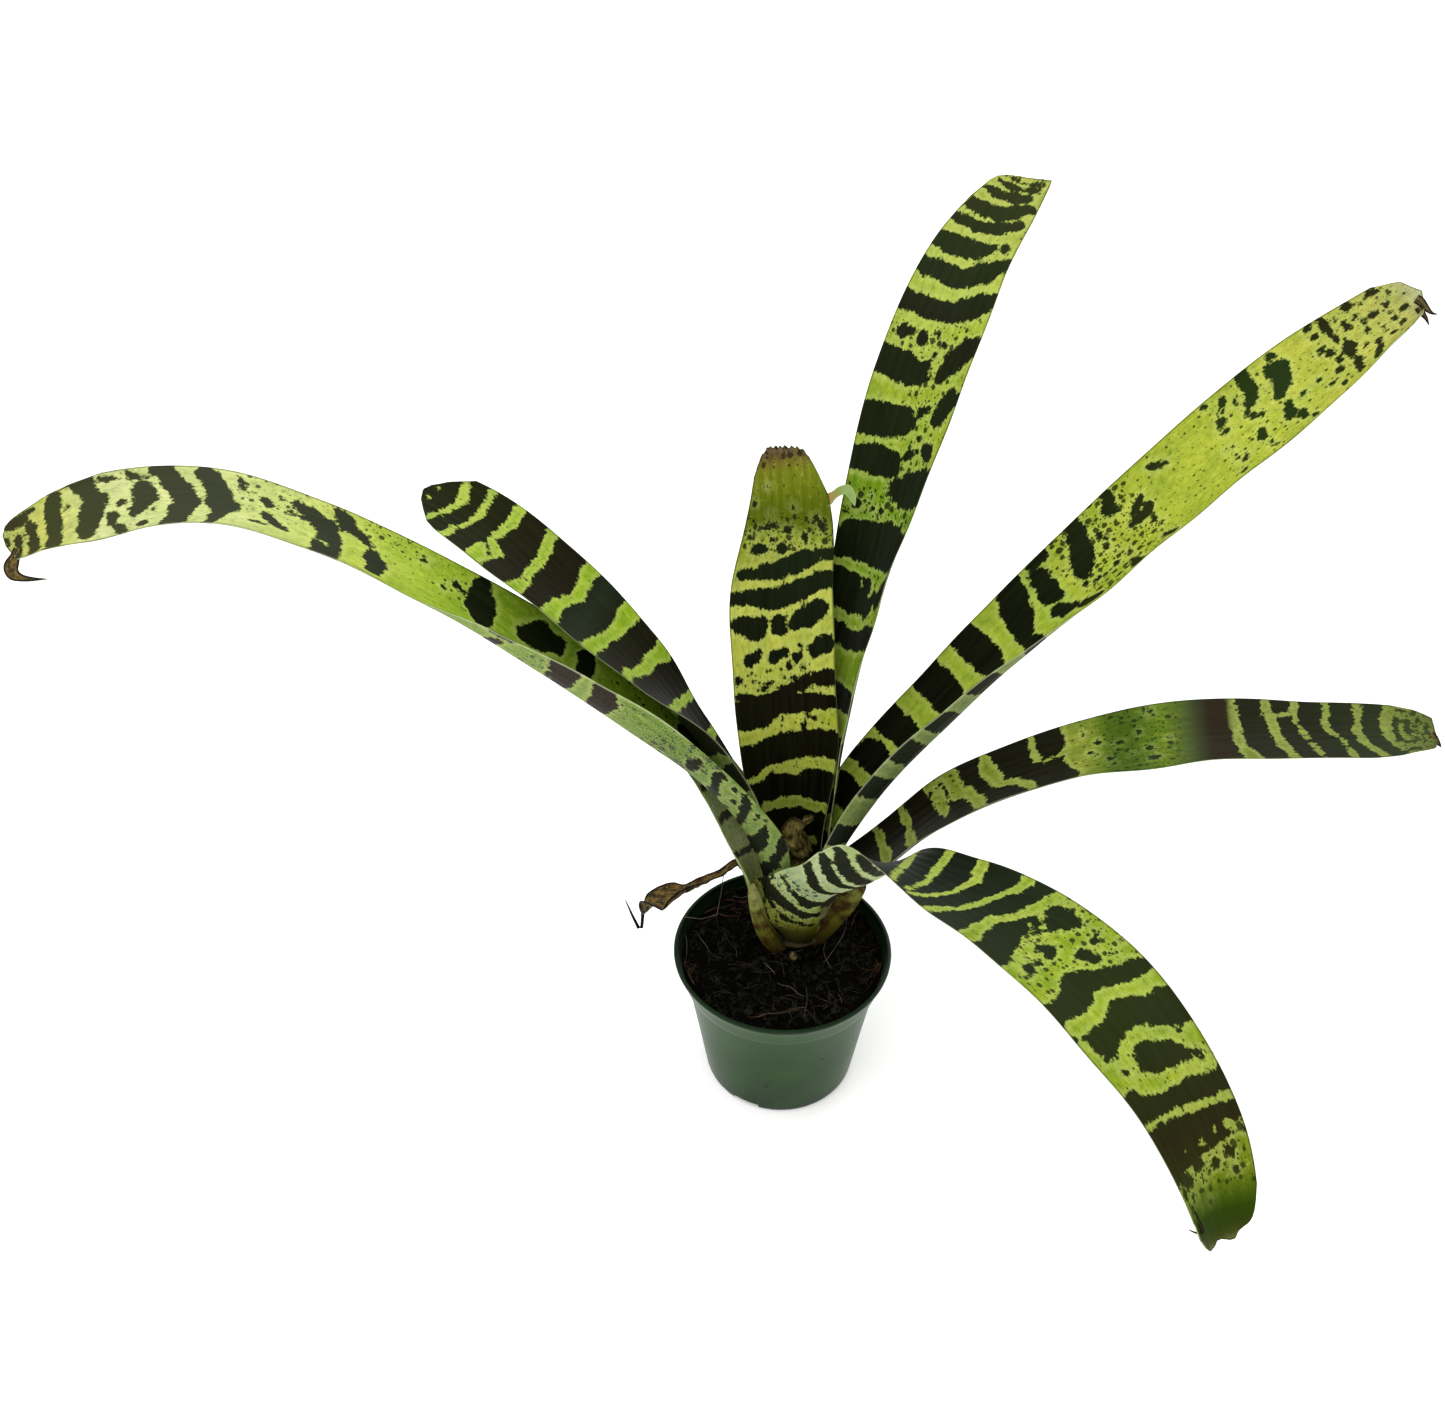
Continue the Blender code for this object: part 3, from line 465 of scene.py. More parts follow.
MARKS = {
    "leaf_1_left": dict(
        dark="""
            10 5 2, 18 12 2.4; 24 8 2.2, 31 18 2.6, 40 26 2.2; 33 0 3, 38 5.5 3.3, 44 12.5 3.3, 48 18 3,
            54 22.5 2.4, 60 27 2.4, 68 31.5 2; 50 -2 5, 54 4 5.2, 60 11 5, 66 18 3.8, 72 23 2.4,
            77 26 1.3, 84 31 1; 70 2 1.6, 77 10 2.3, 83 16 2.4, 89 21.5 2, 94 27 2.2, 100 32 2.6; 96 21 1,
            99 24 0.9; 88 8 1.4, 91 12 1.2; 98 8 2.4, 104 14.5 3.8, 107 18 2.6, 110 23 1.6, 115 30 2.8;
            79 19 0.9; 84 25 0.8, 88 29 0.9; 105 30 1.4; 122 18 2, 124 23 2.8, 126 28 2; 132 8 2.4,
            136 12 1.6; 20 -6 3, 30 -14 3.5, 45 -24 3; 36 -2 3, 48 -14 3.5, 66 -26 3; 56 -4 4, 70 -16 4,
            90 -30 3; 80 -4 3, 92 -14 4, 112 -28 4; 110 -24 3.5, 116 -24 3; 176 30 4.5, 172 24 5.6,
            171 14 5, 170 6 4, 172 0 4, 176 -10 5; 202 30 3, 194 27 7, 192 19 6.5, 192 10 5, 192 0 5;
            224 27 3, 236 27 1.6; 227 20 3, 227 14 3; 178 -17 5, 180 -22 4; 196 -18 5, 203 -17 7,
            209 -14 5; 231 -6 6, 233 -12 8, 236 -20 5; 242 -13 1.6, 247 -14 1.8; 252 -9 1.4; 264 -16 1;
            282 7 3.6, 282 0 4.8, 286 -4 3.4; 287 -10 1.2, 294 -12 2, 300 -15 3.4, 305 -18 2.4;
            302 20 5.6, 303 6 5.8, 304 -2 5.8, 306 -8 4.4, 313 -11 3.4, 323 -14 2.2; 321 3 1.2, 328 0 2.4,
            333 -3 1.8; 329 4 0.9, 336 4 1; 333 -9 1.5; 318 -9 0.8, 325 -9 1; 331 -8.5 0.9, 336 -10.5 1.2;
            341 -12 1.1; 345 -14 1.3, 347 -17 1.1; 329 -14 1.1; 330 -17.5 1; 350.5 22 3.2, 351 13 2.6,
            350.5 6.5 3; 349 3 3, 350 -1 6.2, 354 -9 4.6, 359 -17 3.6; 344 0 1.4; 368 22 5, 367 14 5.6,
            366 6 5.2, 365 -2 5.4, 369 -10 4.8, 375 -18 4; 381 13 2.2; 385 4 2.2, 382.5 0 3.8, 381 -5 5,
            382 -9.5 4; 377.6 2.4 1.2; 388 1 0.8; 381 -14 1.3, 386 -15 1.2, 387 -17.4 1.2; 394 8 1.8,
            394 3 2.2; 391 -4 1.6; 392 -15 1.3, 397 -16 1.3; 388 18 2, 391 13 2.5, 393 9 1.6;
            405 12.5 3.8, 404.5 4 5.4, 401.5 -5 5, 399 -7 3.4; 403 -12 4.4, 405.5 -19 4; 412 -8 1.2;
            420 20 4, 420 8 3.4, 419 -3 3.6, 417 -12 3.2, 415 -18 3; 430 18 3, 429 8 2.4, 429 -4 2.4,
            428 -9 1.4; 436 12 1.6, 436 2 1.5, 435 -6 1.4; 430 -11 1.6, 436 -11 2.2, 426 -14 1.2;
            440 4 1.2, 440 -6 1.4""",
        light="""
            303.5 1.6 0.5, 307 1 0.8, 310.5 0.2 1.2; 198 22 0.8, 202 20 1.4; 196 14 0.8, 199 12 1;
            188 28 0.8; 112 22 0.8""",
        freckles="""
            74 90 6 20 0.7; 116 147 8 33 1; 148 168 22 33 0.5; 264 290 -16 -2 0.3; 238 262 -19 -6 0.5;
            316 350 -20 -6 0.6; 296 316 -20 -15 0.6; 262 296 -20 -16 0.7; 374 398 -18 20 0.3;
            200 214 14 30 0.9; 120 170 -24 -17 0.5; 424 441 -16 -6 0.6""",
        ground="""
            0 8B902A, 60 6F8B1E, 200 719118, 250 91AE28, 290 B4C34D, 330 C4CE80, 350 CAD290, 400 CED299,
            420 C2BE60, 441 8D8B4F""",
        band="0 11110A, 200 090E04, 260 12170B, 300 2C3024, 350 34372A, 420 35381E, 441 302C16",
        under="0 525510, 40 4A661B, 130 4D6B1B, 160 5E762A, 220 738B3E, 441 8B9E60",
        under_band="0 070603, 40 050706, 120 090A05, 165 291D1D, 230 312928, 441 38312C"),
    "leaf_2_upper_left": dict(
        zone=(-5, 300, 0.1),
        light="""
            20 -14 3.42, 16 0 3.42, 20 14 3.42; 40 -16 4.56, 34 0 3.42, 40 16 4.56; 60 -18 4.56,
            53 0 3.42, 60 18 4.56; 80 -20 4.56, 74 0 4.56, 82 20 4.56; 102 -20 3.42, 100 0 3.42,
            106 20 3.42; 125 -22 2.96, 127 -14 2.51, 131 -4 2.96, 134 6 2.74, 138 18 3.42; 151 -22 5.7,
            153 -16 3.65, 154 -8 3.88, 156 -1 2.74, 159 6 2.74, 163 12 2.96, 164 22 2.96; 176 -22 5.7,
            177 -16 5.02, 176 -8 3.88, 178 -2 2.74, 180 6 3.65, 183 14 4.1, 184 22 4.33; 203 -22 4.33,
            202 -14 3.65, 200 -6 3.42, 203 0 2.96, 206 8 3.42, 206 22 5.24; 227 -21 2.96, 225 -14 3.19,
            223 -6 2.74, 224 2 2.28, 223 10 2.51, 226 22 4.56; 244 -20 2.51, 243 -12 2.74, 244 -6 2.28,
            246 2 1.82, 242 7 4.56, 246 12 5.24, 248 20 4.56; 257 -18 1.82, 256 -5 1.6, 258 2 1.14,
            262 9 1.6, 265 17 1.82; 268 -15 1.82, 266 -6 2.28, 269 2 1.37, 273 9 1.48, 276 15 1.03;
            264 -6 0.91; 279 0 0.91; 281 -3 0.8; 277 -6 0.68""",
        spots="237 8.6 1.5; 243 11 1.3; 245 8 1.2; 241 16 0.9; 252 -8 0.5; 223 8 0.7",
        freckles="255 284 -14 12 0.25; 196 212 -20 20 0.3; 218 250 -20 20 0.3",
        ground="0 819724, 120 82A21A, 200 89A81D, 281 9DB539",
        band="0 080503, 120 0C0704, 175 120F07, 192 1A2316, 206 150F08, 240 181609, 281 1B1E0C",
        under="0 7C7A28, 60 6A8432, 281 9DB070",
        under_band="0 0E0C08, 281 34342A"),
    "leaf_3_centre": dict(
        zone=(-5, 116, 0),
        dark="""
            118 23 2, 114 12 2.4, 116 2 2.6, 119 -6 3, 123 -14 3.4, 124 -22 4; 105 0 6, 108 -12 8;
            126 22 1.6; 120 9.4 2.2, 122.5 6 1; 135 15 3.6, 138.5 11 2; 135 4 3.4, 137 0 2.4;
            123.5 -4 1.8; 129.3 -3 1.5; 134 -7 2.6, 131 -6 1; 129 -8.6 1.3; 130.6 -10.6 0.7; 137 -15 3.8,
            141 -20 4.6; 124 14 0.6; 140 -8 0.9; 121 -14 0.7; 153 21 3.4, 150 12 5.8; 149 1 3.8,
            152 1 3.4; 151 -7 4, 155 -13 5.6, 159 -18 4.4; 164 22 2.6, 164 12 3.8, 163 2 5.6, 166 -6 5.4,
            171 -14 4.8, 175 -21 4.8; 174 20 2.2, 175 10 3.4, 177 2 4.6, 181 -6 4.6, 185 -13 3.4,
            187 -20 2.4; 186 14 2.4, 186 10 2; 187 2 2.8; 192 17 1, 196 11 1, 198 6 0.8; 195.5 0 1.8;
            193 -8 1.6; 198 -15 2; 201 -12 1.3; 209 15.4 1.3; 203.6 8.6 1; 216.7 9 0.8; 190 -2 1.3;
            191 7 1; 206 -2 0.6""",
        light="""
            58 12 2.6, 58 0 3.4, 58 -12 3, 60 -24 3; 38 14 2, 36 0 2.4, 38 -14 2; 18 0 2; 75 26 2.6,
            74 15 1.8, 78 8 2, 77 -2 4.2, 81 -11 2.8, 81 -24 3.2; 98 26 4.8, 96 14 3.4, 97 8 2.4,
            101 1 4.6, 101 -7 4.6, 103 -16 4.6, 103 -24 6.2""",
        spots="""
            95 -8 0.4, 99 -8 1.1, 105 -10 0.9, 110 -12 0.5; 103 -14 0.9; 97 2.6 0.5, 103 1.6 0.5;
            79 -4 0.6; 80 -14 0.5; 76 -2 0.4""",
        freckles="""
            184 204 -20 22 1; 200 226 -16 16 0.3; 224 235 -16 16 1; 116 132 -12 20 0.6; 92 106 -20 6 0.4;
            74 84 -20 4 0.35; 150 186 -20 20 0.25""",
        ground="""
            0 526317, 60 849020, 75 A7AF30, 110 BABE41, 125 C0C44E, 160 BEC04E, 188 9CA030, 194 6E7A0C,
            198 4E5A02, 206 4A5602, 212 566004, 217 62690A, 222 686A12, 226 736224, 229 5A492C, 233 6B5641""",
        band="""
            0 030201, 60 040201, 100 090502, 125 0C0703, 135 0A0D05, 160 0B1106, 185 10190A, 222 2A2410,
            233 2C2018""",
        under="0 7C7A28, 60 6A8432, 210 8A9A5C, 232 77695A",
        under_band="0 0E0C08, 232 34342A"),
    "leaf_4_upper_right": dict(
        dark="""
            18 -14 4, 14 0 5, 18 14 4; 42 -18 7, 38 0 8, 42 18 7; 66 -18 6, 62 0 7, 66 18 6; 92 -18 7,
            88 0 7, 92 18 7; 118 -18 5, 114 0 6, 118 18 6; 144 18 6, 144 10 6, 142 4 4.6, 145 -3 4.5,
            150 -10 6, 154 -20 6; 166 20 9.5, 165 9 10, 165 0 8.4, 170 -6 2.6; 174 -1 2.2; 168 -11 3.4,
            176 -16 4, 184 -22 4; 186 22 7, 190 12 9.4, 192 0 10.8, 194 -10 10.4, 196 -22 9; 207 15 2.4;
            207 7 1.3; 208 2 1.1; 204 -6 1.4; 213 -8 1; 206 -14 1.2; 212 9 0.7; 227 22 5.4, 229 11 7.6,
            229 4 6.2; 219 -3 4.8, 221 -11 8.2, 226 -22 8; 246 23 7.4, 247 10 7.8, 249 3 6.4; 236 -5 2.4,
            233 -2 1.6; 240 -15 4.2; 244 -8 1.2; 238 -9 1; 254 -15 3.8, 263 -18 4.8, 264 -22 3;
            255 -5 2.6, 257 -8 1.6; 272 22 6.4, 271 10 7.2, 270 3 5.4, 276 0 1.4; 285 15 3.4, 286 12 2;
            285 6 3.2; 288 0 1.2; 285 -4 1.2; 279 -2 0.9; 280 -7 1; 271 -8 3, 278 -12 4.6, 284 -16 5.4,
            288 -21 4; 298 21 4.4, 298 9 4.6, 299 -3 4.8, 304 -12 5.6, 308 -19 4; 314 20 3.6, 314 9 4.4,
            314 -1 4.6, 320 -10 4.8, 326 -17 3.4; 326 19 3.2, 327 8 4.8, 328 -1 4.6, 331 -6 2.6;
            333 -12 2.2; 338 17 2.2, 338 6 2.8, 341 -3 3.4, 346 -11 2.4; 347 16 2.4, 347 5 3.8,
            350 -3 4.2, 356 -11 2.6; 357 13 1.6, 357 3 2.8, 360 -7 2.6; 363 9 1.2, 363 1 1.6, 366 -9 1.6;
            367 7 0.8, 367 -2 1, 370 -9 0.9; 371 2 0.7, 372 -8 0.7""",
        light="170 3 0.8, 173 4 0.8; 168 -3 0.8, 172 -5 1",
        freckles="""
            199 216 -18 21 1; 150 182 -18 -2 0.6; 205 304 -13 3 0.8; 232 300 -20 -4 0.5;
            276 292 -2 20 0.6; 318 350 -18 -4 0.4; 176 184 -20 20 0.4""",
        # Between 120 and 216 mm leaf 4 lies in the shade of leaf 3; its ground there is painted a darker,
        # more saturated green: painted shade.
        ground="""
            0 727E20, 120 647C0C, 160 688600, 200 557D00, 216 587E00, 240 869A20, 300 9DAE3C, 350 A2AA4A,
            376 919137""",
        band="0 040301, 180 050802, 210 0D1407, 250 101707, 295 15160A, 320 19220C, 376 2C3016",
        under="0 7C7A28, 60 6A8432, 376 A8B486",
        under_band="0 0E0C08, 376 3A3A30"),
    "leaf_5_right": dict(
        dark="""
            22 -12 4, 18 0 5, 22 12 4; 42 -18 5, 40 0 6, 42 18 5; 66 26 8, 66 12 8, 63 0 7, 60 -12 6,
            59 -26 6; 84 26 3, 89 17 8.4, 88 8 6.5, 89 -12 6, 88 -26 6; 108 26 7.4, 108 13 7.4, 108 4 6.8,
            111 -10 7, 111 -26 7; 136 26 8.6, 136 12 8.4, 136 0 7.4, 134 -12 7, 133 -26 7; 161 26 7,
            162 14 8, 163 5 7.4, 165 0 4, 162 -14 7, 160 -26 8; 194 26 6, 188 14 8, 185 4 6.6, 184 -3 4,
            188 -16 6, 190 -26 5; 206 16 5, 205 7 5.6, 208 3 2.4; 203 -3 3.8, 206 -7 3.8, 211 -10 2.4;
            212 24 4.5, 208 23 3; 214 -14 3, 222 -20 3; 233 24 4, 229 14 5.4, 224 6 5.6, 222 2 3;
            220 -3 1.6; 226 -6 1.4; 218 10 1; 252 22 3, 249 16 3.2; 256 8 2.2, 262 11 1.4; 252 4 1.6,
            257 4 2.8, 262 5 2; 238 11 1.8; 240 8 1.6; 237 5 1.6; 260 -2 1.8; 262 -7 1.6; 243 -14 2,
            244 -20 3.8; 236 -7 1.4; 244 -6 1; 239 -1 1; 260 -16 1.6, 264 -20 2; 274 18 1.6, 280 15 1;
            306.3 10.2 1.3, 308.6 11.6 2; 304.5 7.3 0.9, 307.6 7.6 0.8; 301.5 -0.6 0.8, 304.5 -0.6 0.7;
            303.3 -7.2 1.6; 305 -11 1.1, 307 -8.6 1; 307.3 21.6 1.3; 313.6 18.2 1.6; 311.2 14.8 1;
            316.4 14 0.8, 318.6 16 0.9; 326 22.5 3.2, 325 14.6 2.8; 320.4 9.4 1.6, 324 10.4 2;
            318.2 7 1.6; 319 4.4 1.3, 322.4 2.6 1.2; 317.6 -4.4 2, 316.4 -7 1.9; 318 -13.6 0.8;
            318 -17.4 1.2; 301.6 -18 1.6; 339.5 19.6 2; 336 15 3.4, 340 14 3.2, 335.4 7.6 3.8,
            338.6 8.6 2.6; 331.4 4 1.7, 334 2.8 1.2; 333.4 -2 1.9, 330.6 -7.6 3; 334.6 -11.6 2.2,
            335 -14.6 1.6; 340 -2.4 0.9; 338 -20 1.6; 356.8 20.2 1.7; 356.6 15.6 1.7; 355 9.2 1.1,
            357.6 9.8 1; 358.5 5.2 2; 359.4 1.2 1.5; 357.2 -5 1.8; 351.8 -9 1.3; 348.2 -1.8 0.9;
            355.4 -14 1.2; 363 20 1.5, 363.3 8.6 1.5; 366 6.4 1.5, 366 2 2.6, 364.6 -2.6 2; 364.8 -6.8 2,
            363.8 -14 1.8; 374 18.8 2.1; 374.8 13.4 1.4; 376 9 1.3; 375.2 4.8 1; 369 13.4 1.6,
            370.4 10.6 1.4; 367.6 17 1; 369.2 -2.6 1.2, 371.4 -1.6 1.2; 375.8 -3.8 1.3, 375 -8 1.5,
            372.4 -13 1.7, 371 -17.4 1.5; 379 17.6 1.1; 380 9 1.3, 382 9.4 1.1; 380.6 1.8 1.3,
            380.4 -1.4 1; 382.3 -5.6 1.4; 384 18.4 1.6, 387.6 18.4 1.3; 387 10 1.3; 386.8 6 1;
            386.6 2 1.3; 387.3 -2.6 1.4; 391 14 1.2; 391.6 4 1.6""",
        freckles="""
            198 218 8 24 0.6; 216 264 -20 24 0.95; 262 300 -22 24 0.4; 296 345 -22 22 0.5;
            345 399 -22 20 0.5""",
        ground="""
            0 838F2F, 60 A2B43C, 195 A2B435, 205 83A226, 214 A4B235, 300 AEB83A, 340 B2B843, 370 B0B043,
            390 A89F54, 399 B2B089""",
        band="""
            0 040301, 150 050401, 200 080D03, 240 141B06, 270 202608, 320 1E2C0A, 345 1A2C0A, 360 1E2008,
            399 2A2612""",
        under="0 87964E, 60 758748, 160 87945E, 399 A4B083",
        under_band="0 0E0F0B, 60 141A12, 150 23261C, 399 3A3A32"),
    "leaf_6_right_low": dict(
        zone=(30, 166, -0.2),
        dark="""
            235 22 7, 235 -22 7; 240 22 8, 240 -22 8; 252 22 8, 252 -22 8; 264 20 8, 264 -20 8; 276 20 8,
            277 -20 8; 288 18 8, 289 -18 8; 298 16 4, 296 6 5, 297 -2 5, 300 -10 4.4, 304 -16 3; 160 -2 5,
            167 -12 4.6, 168 -20 4; 305.5 9 1.3, 304 4 1.5, 304.2 -1 1.5, 306 -6 1.3; 310 10 0.7,
            309 2 0.8, 311 -7 0.7; 314.5 9 0.7, 314 0 0.7, 315.5 -6 0.6; 308 13 0.6, 314 12 0.6;
            306 -12 0.8, 312 -10 0.6; 317.6 6 0.5, 317.6 -3 0.5; 311.6 6 0.5, 311.8 -2 0.5; 316 4 0.4,
            316.4 -1 0.4; 30 -18 5, 26 0 5, 20 18 5; 10 -18 3, 8 0 3, 6 18 3""",
        light="""
            56 22 1.8, 58 16 2.8, 59.4 12 2.8, 60 7 3.1, 62 2 3.8, 65 -4 3.5, 67 -9 2.6; 77 20 2.2,
            78.4 13 2.8, 80 8 2.6, 79 3 2.8, 81.6 -3 3.5, 84.6 -9 3.1, 88 -17 3.1; 98 22 4.7, 99 15 4.2,
            101 9 4.0, 103 3 3.1, 104.4 -2 1.9, 104.4 -4 0.9; 100 20 4.0, 109 20 4.0, 111 12 4.7,
            110 8 4.0; 112 8 3.5, 116 6 3.3, 119 2 3.3, 122 -4 3.5, 124.6 -9 3.1, 127 -16 2.6;
            127.6 20 2.7, 128 13 4.5, 131 8 3.7, 133.6 2 2.8, 140 -0.5 2.2, 146 -4.5 2.8, 149 -9 2.6,
            150.6 -16 2.2; 151 22 1.7, 151 15 1.8, 151.6 9 1.9, 156 6.5 1.3, 162 7 1.3, 168 9 3;
            170 20 3.4, 171 12 4, 168 4 4, 170 0 4, 175 -6 4, 180 -14 6; 237.4 22 2.4, 238.8 8 2.6,
            239.6 2 2.3, 240.3 -6 2.3, 242.8 -13 3.6, 244 -20 4; 252 22 2, 252.6 14 2.4, 254.7 7 2.3,
            255.7 0 1.9, 257.5 -6 2.3, 259.5 -12 2.1, 261 -20 2.4; 256 12.4 0.8, 262 12.8 0.8;
            264.4 20 2.0, 264.2 13 1.6, 264.2 8 1.2, 266.7 2 1.3, 268.6 -3 1.2, 270.5 -9 1.1,
            273.3 -19 1.3; 277.2 18 2, 277 11 1.4, 276 7 1.3, 277.5 3.5 1.2, 280.5 -1 1.4, 282.6 -4 1.8,
            283.3 -9 1.4, 285.5 -17 1.6; 290.2 16 2.4, 290 9 1.6, 289 2 1.7, 290 -3 1.6, 292.5 -9 1.8,
            296 -14 1.6, 298.5 -18 1.5; 302.2 13 2.2, 299.7 7 1.4, 300.3 0 1.4, 302 -5 1.4, 306 -11 2.4""",
        spots="""
            97 16 1.2; 101 14 1; 104 17.5 0.9; 106 6 0.6; 114 3 0.6; 99 9 0.5; 189.5 5.2 1.6; 202 -1 1.2;
            203 -9.6 2, 205 -9.8 1.6; 204 18.5 1.1; 180.5 8 1.3; 177 3.5 0.9; 179 1.3 0.8; 185 -4.2 1.4;
            186.5 -10 0.9; 194 -4 0.8; 198 9 0.7; 211 3 0.7; 174 14 0.7""",
        freckles="""
            94 116 0 20 0.5; 166 184 -18 20 0.45; 182 216 -20 20 0.75; 302 323 -12 12 0.8;
            250 300 -18 18 0.1""",
        ground="""
            0 565610, 50 666E16, 60 737B1C, 100 6C781F, 165 75812A, 174 7D8732, 180 616E1E, 185 3F5611,
            194 385211, 203 466112, 209 526A16, 214 4A5C20, 219 404C26, 223 363C22, 227 2A281A,
            231 261C14, 236 2E2A16, 238 666E34, 242 66722D, 270 5F6928, 300 5A6427, 312 4B5521, 323 464E22""",
        band="""
            0 0D0805, 60 0E0705, 90 100805, 130 13100C, 165 100D07, 183 16230C, 206 1C3010, 222 2C2A20,
            228 271E16, 233 261C14, 240 1E1A13, 252 1B1C12, 270 1A1C10, 300 232A18, 312 2C3818, 323 2C3818""",
        under="0 5E5A1E, 40 2E211C, 120 33271F, 200 7F9060, 323 93A070",
        under_band="0 1A120E, 120 20150F, 323 3A3A30"),
    "leaf_7_front_right": dict(
        zone=(108, 318, -0.9),
        dark="""
            17 -4 0.8, 20 -8 1.2, 26 -17 1.4, 34 -26 1.5, 39 -30 1.4; 30 2 1.2, 26 -1 1.8, 28 -7 2.5,
            34 -15 2.9, 38 -22 3.2, 41 -30 3.2; 40 1 2.4, 38 -5 3.4, 42 -10 2.8, 46 -16 1.2, 52 -23 1.4;
            40 10 1.2, 34 5 1.4, 30 2 1.2; 50 8 1.4, 44 4 1.6, 40 1 2.4; 60 4 1.8, 58 -1 2.6, 62 -9 3,
            70 -15 2.8, 81 -22 2.6; 74 8 2, 74 2 2.6, 77 -4 3.2, 84 -11 3.6, 94 -19 3; 82 8 3.4, 87 1 4,
            95 -8 4.2, 107 -18 3.6; 92 12 2.4, 100 2 3.2, 110 -7 3.4, 122 -15 3.4; 56 10 2, 60 12 2,
            66 22 4; 76 12 3, 84 22 4; 24 -26 1.8, 27 -29 2.2; 33 -33 1.6; 16 -20 1.2; 46 -27 1.4,
            50 -30 1.6; 321 -13 3, 324 -9 2.4; 320 -2 2.6; 322 5 2; 319 11 1.8; 327 -15 2.6; 330 -9 1.6;
            326 -2 1.3; 333 -13 1.4; 335 0 1.2""",
        light="""
            310 14 1.8, 312 17 2.4; 311 8 1.2; 313 2 1; 314 -6 0.9; 110 22 2.2, 113 18 2, 122 9 2.4,
            131 -1 2.2, 141 -12 1.8, 150 -21 1.6; 136 22 3, 138 18 3, 142 11 2.6, 146 4 2, 151 -6 1.8,
            157 -19 1.6; 160 22 3.4, 162 18 4, 166 12 3, 164 6 2.2, 165 0 1.8, 163 -8 1.8, 162 -20 2;
            188 23 3.6, 188 18 2.8, 183 10 2, 181 3 2, 179 -6 2, 177 -14 2.6, 176 -22 2.6; 206 23 4,
            203 16 3.4, 200 9 3, 198 3 2.2, 194 -4 2.8, 196 -12 3.6, 201 -22 4.4; 205 22 2.4,
            216 22.4 2.2, 228 22 4.4; 240 26 10, 238 20 9.6, 232.5 11 9.6, 226 4 10, 223 0 10.4,
            223 -3 10.6, 226 -9 10.6, 231 -16 10.6, 233 -24 11; 213 -1 3.4; 205 12 1, 212 8 1.2;
            206 5 0.8, 210 3 1; 259 22 3.6, 257 14 3.2, 253 7 2.8, 251 1 3, 256 -7 3.2, 257 -18 4.4;
            283 22 5.6, 276 12 2.6, 271 4 2.8, 270 -2 2.8, 275 -8 3, 280 -12 6, 280 -20 7; 264 -20 2,
            272 -20 4; 290 18 3.2, 289 9 2.6, 289 0 3, 286 -8 5; 302 19 1.5, 301 7 1.2, 300 -1 1.2,
            300 -20 1.2""",
        spots="""
            233.4 8 2.5, 237.4 9.6 2.7; 219.4 -0.6 2.2, 223 0.8 2.7, 225.4 -2 1.5; 226 -13.6 2.5,
            224.6 -11 1.5; 225 -7.6 1.4; 216 -1.2 1.1; 232.5 15 1.3; 231 18.6 0.8; 229 -17.4 0.8;
            221 -9 0.8; 241 16 0.8; 219 -15 0.7; 284.4 11.4 1; 280 -12.4 1.5; 273 -11.6 1; 240 22 1;
            265 -12 4.2, 269 -11 2.6; 336 -4 0.5; 326 12 0.6; 287.6 17 0.9; 277 15 0.6; 276 -5 0.6""",
        stain="2 0 15, 9 -14 15, 19 -26 15, 26 -38 18",
        stain_tone="5E5C14",
        freckles="""
            204 248 -20 23 0.7; 196 206 -20 20 0.4; 262 298 -20 20 0.35; 306 332 -20 20 0.9;
            330 350 -18 18 0.3; 40 58 -22 -6 1; 8 40 -36 -14 0.8; 128 190 -20 20 0.12""",
        ground="""
            0 4B4711, 100 879A26, 150 94A638, 200 879A26, 240 899E21, 290 8B9C21, 304 7C8812, 310 727E0C,
            318 6E7A06, 326 626E02, 331 4C5C02, 335 364C02, 340 283C02, 345 2A3A04, 349 3A4012, 351 5A5C34""",
        band="""
            0 0B0A06, 110 080A05, 150 0B120B, 190 151F12, 225 1B2410, 260 20270C, 290 20240C, 308 221E0B,
            318 262409, 328 2A330A, 350 22300A""",
        under="""
            0 1B1507, 8 38340D, 16 585817, 26 6A712A, 36 87985C, 48 9CAD87, 66 A2B18E, 82 ADB59A,
            110 94A273, 350 8A9D6A""",
        under_band="0 0A0904, 350 12140C"),
    "leaf_8_under_left": dict(
        dark="""
            16 -20 1, 20 -6 1.2, 24 4 1.4, 34 20 1.2; 40 -18 1.2, 44 -5 1.4, 50 6 1.4, 60 18 1.2;
            62 -16 1.8, 68 -4 2, 74 8 1.8; 84 -12 1.6, 90 0 1.6, 96 9 1.4""",
        stain="-4 25 6, 13 25 6, 26 23 5, 36 23 3",
        stain_tone="4A4412",
        freckles="16 110 -20 20 0.25",
        # Leaf 8 lies in the shade of leaf 1, so its ground and bands are painted near white and light:
        # painted light.
        ground="0 A89C40, 16 E4E890, 50 F0F8B0, 80 E4F0B0, 118 D0DEA4",
        band="0 4A4428, 118 3A4630",
        under="0 2B2605, 14 4D470D, 30 65692B, 60 727E40, 118 68782F",
        under_band="0 1E1C0A, 118 181C0E"),
}
print(sum(len(strokes(m.get("dark", ""))) for m in MARKS.values()), "dark strokes")

# %% [markdown]
# Where the marks end is not drawn here. Each point of a leaf only gets a depth in millimetres: how far
# inside a band it lies, or how far outside. The material turns depth to colour, pixel by pixel.

# %% From strokes to values on the leaf
ZONE_END_LEAN = 0.3
FRECKLE_FADE = 5.0


def mark_depth(at, q, marks):
    """The bands of a leaf: dark strokes and zone, less the light strokes, plus the spots."""
    deep = stroke_depth(at, q, marks.get("dark", ""))
    if "zone" in marks:
        start, end, lean = marks["zone"]
        deep = np.maximum(deep, np.minimum(at - (start + lean * q), end + lean * q * ZONE_END_LEAN - at))
    deep = np.minimum(deep, -stroke_depth(at, q, marks.get("light", "")))
    return np.maximum(deep, stroke_depth(at, q, marks.get("spots", "")))


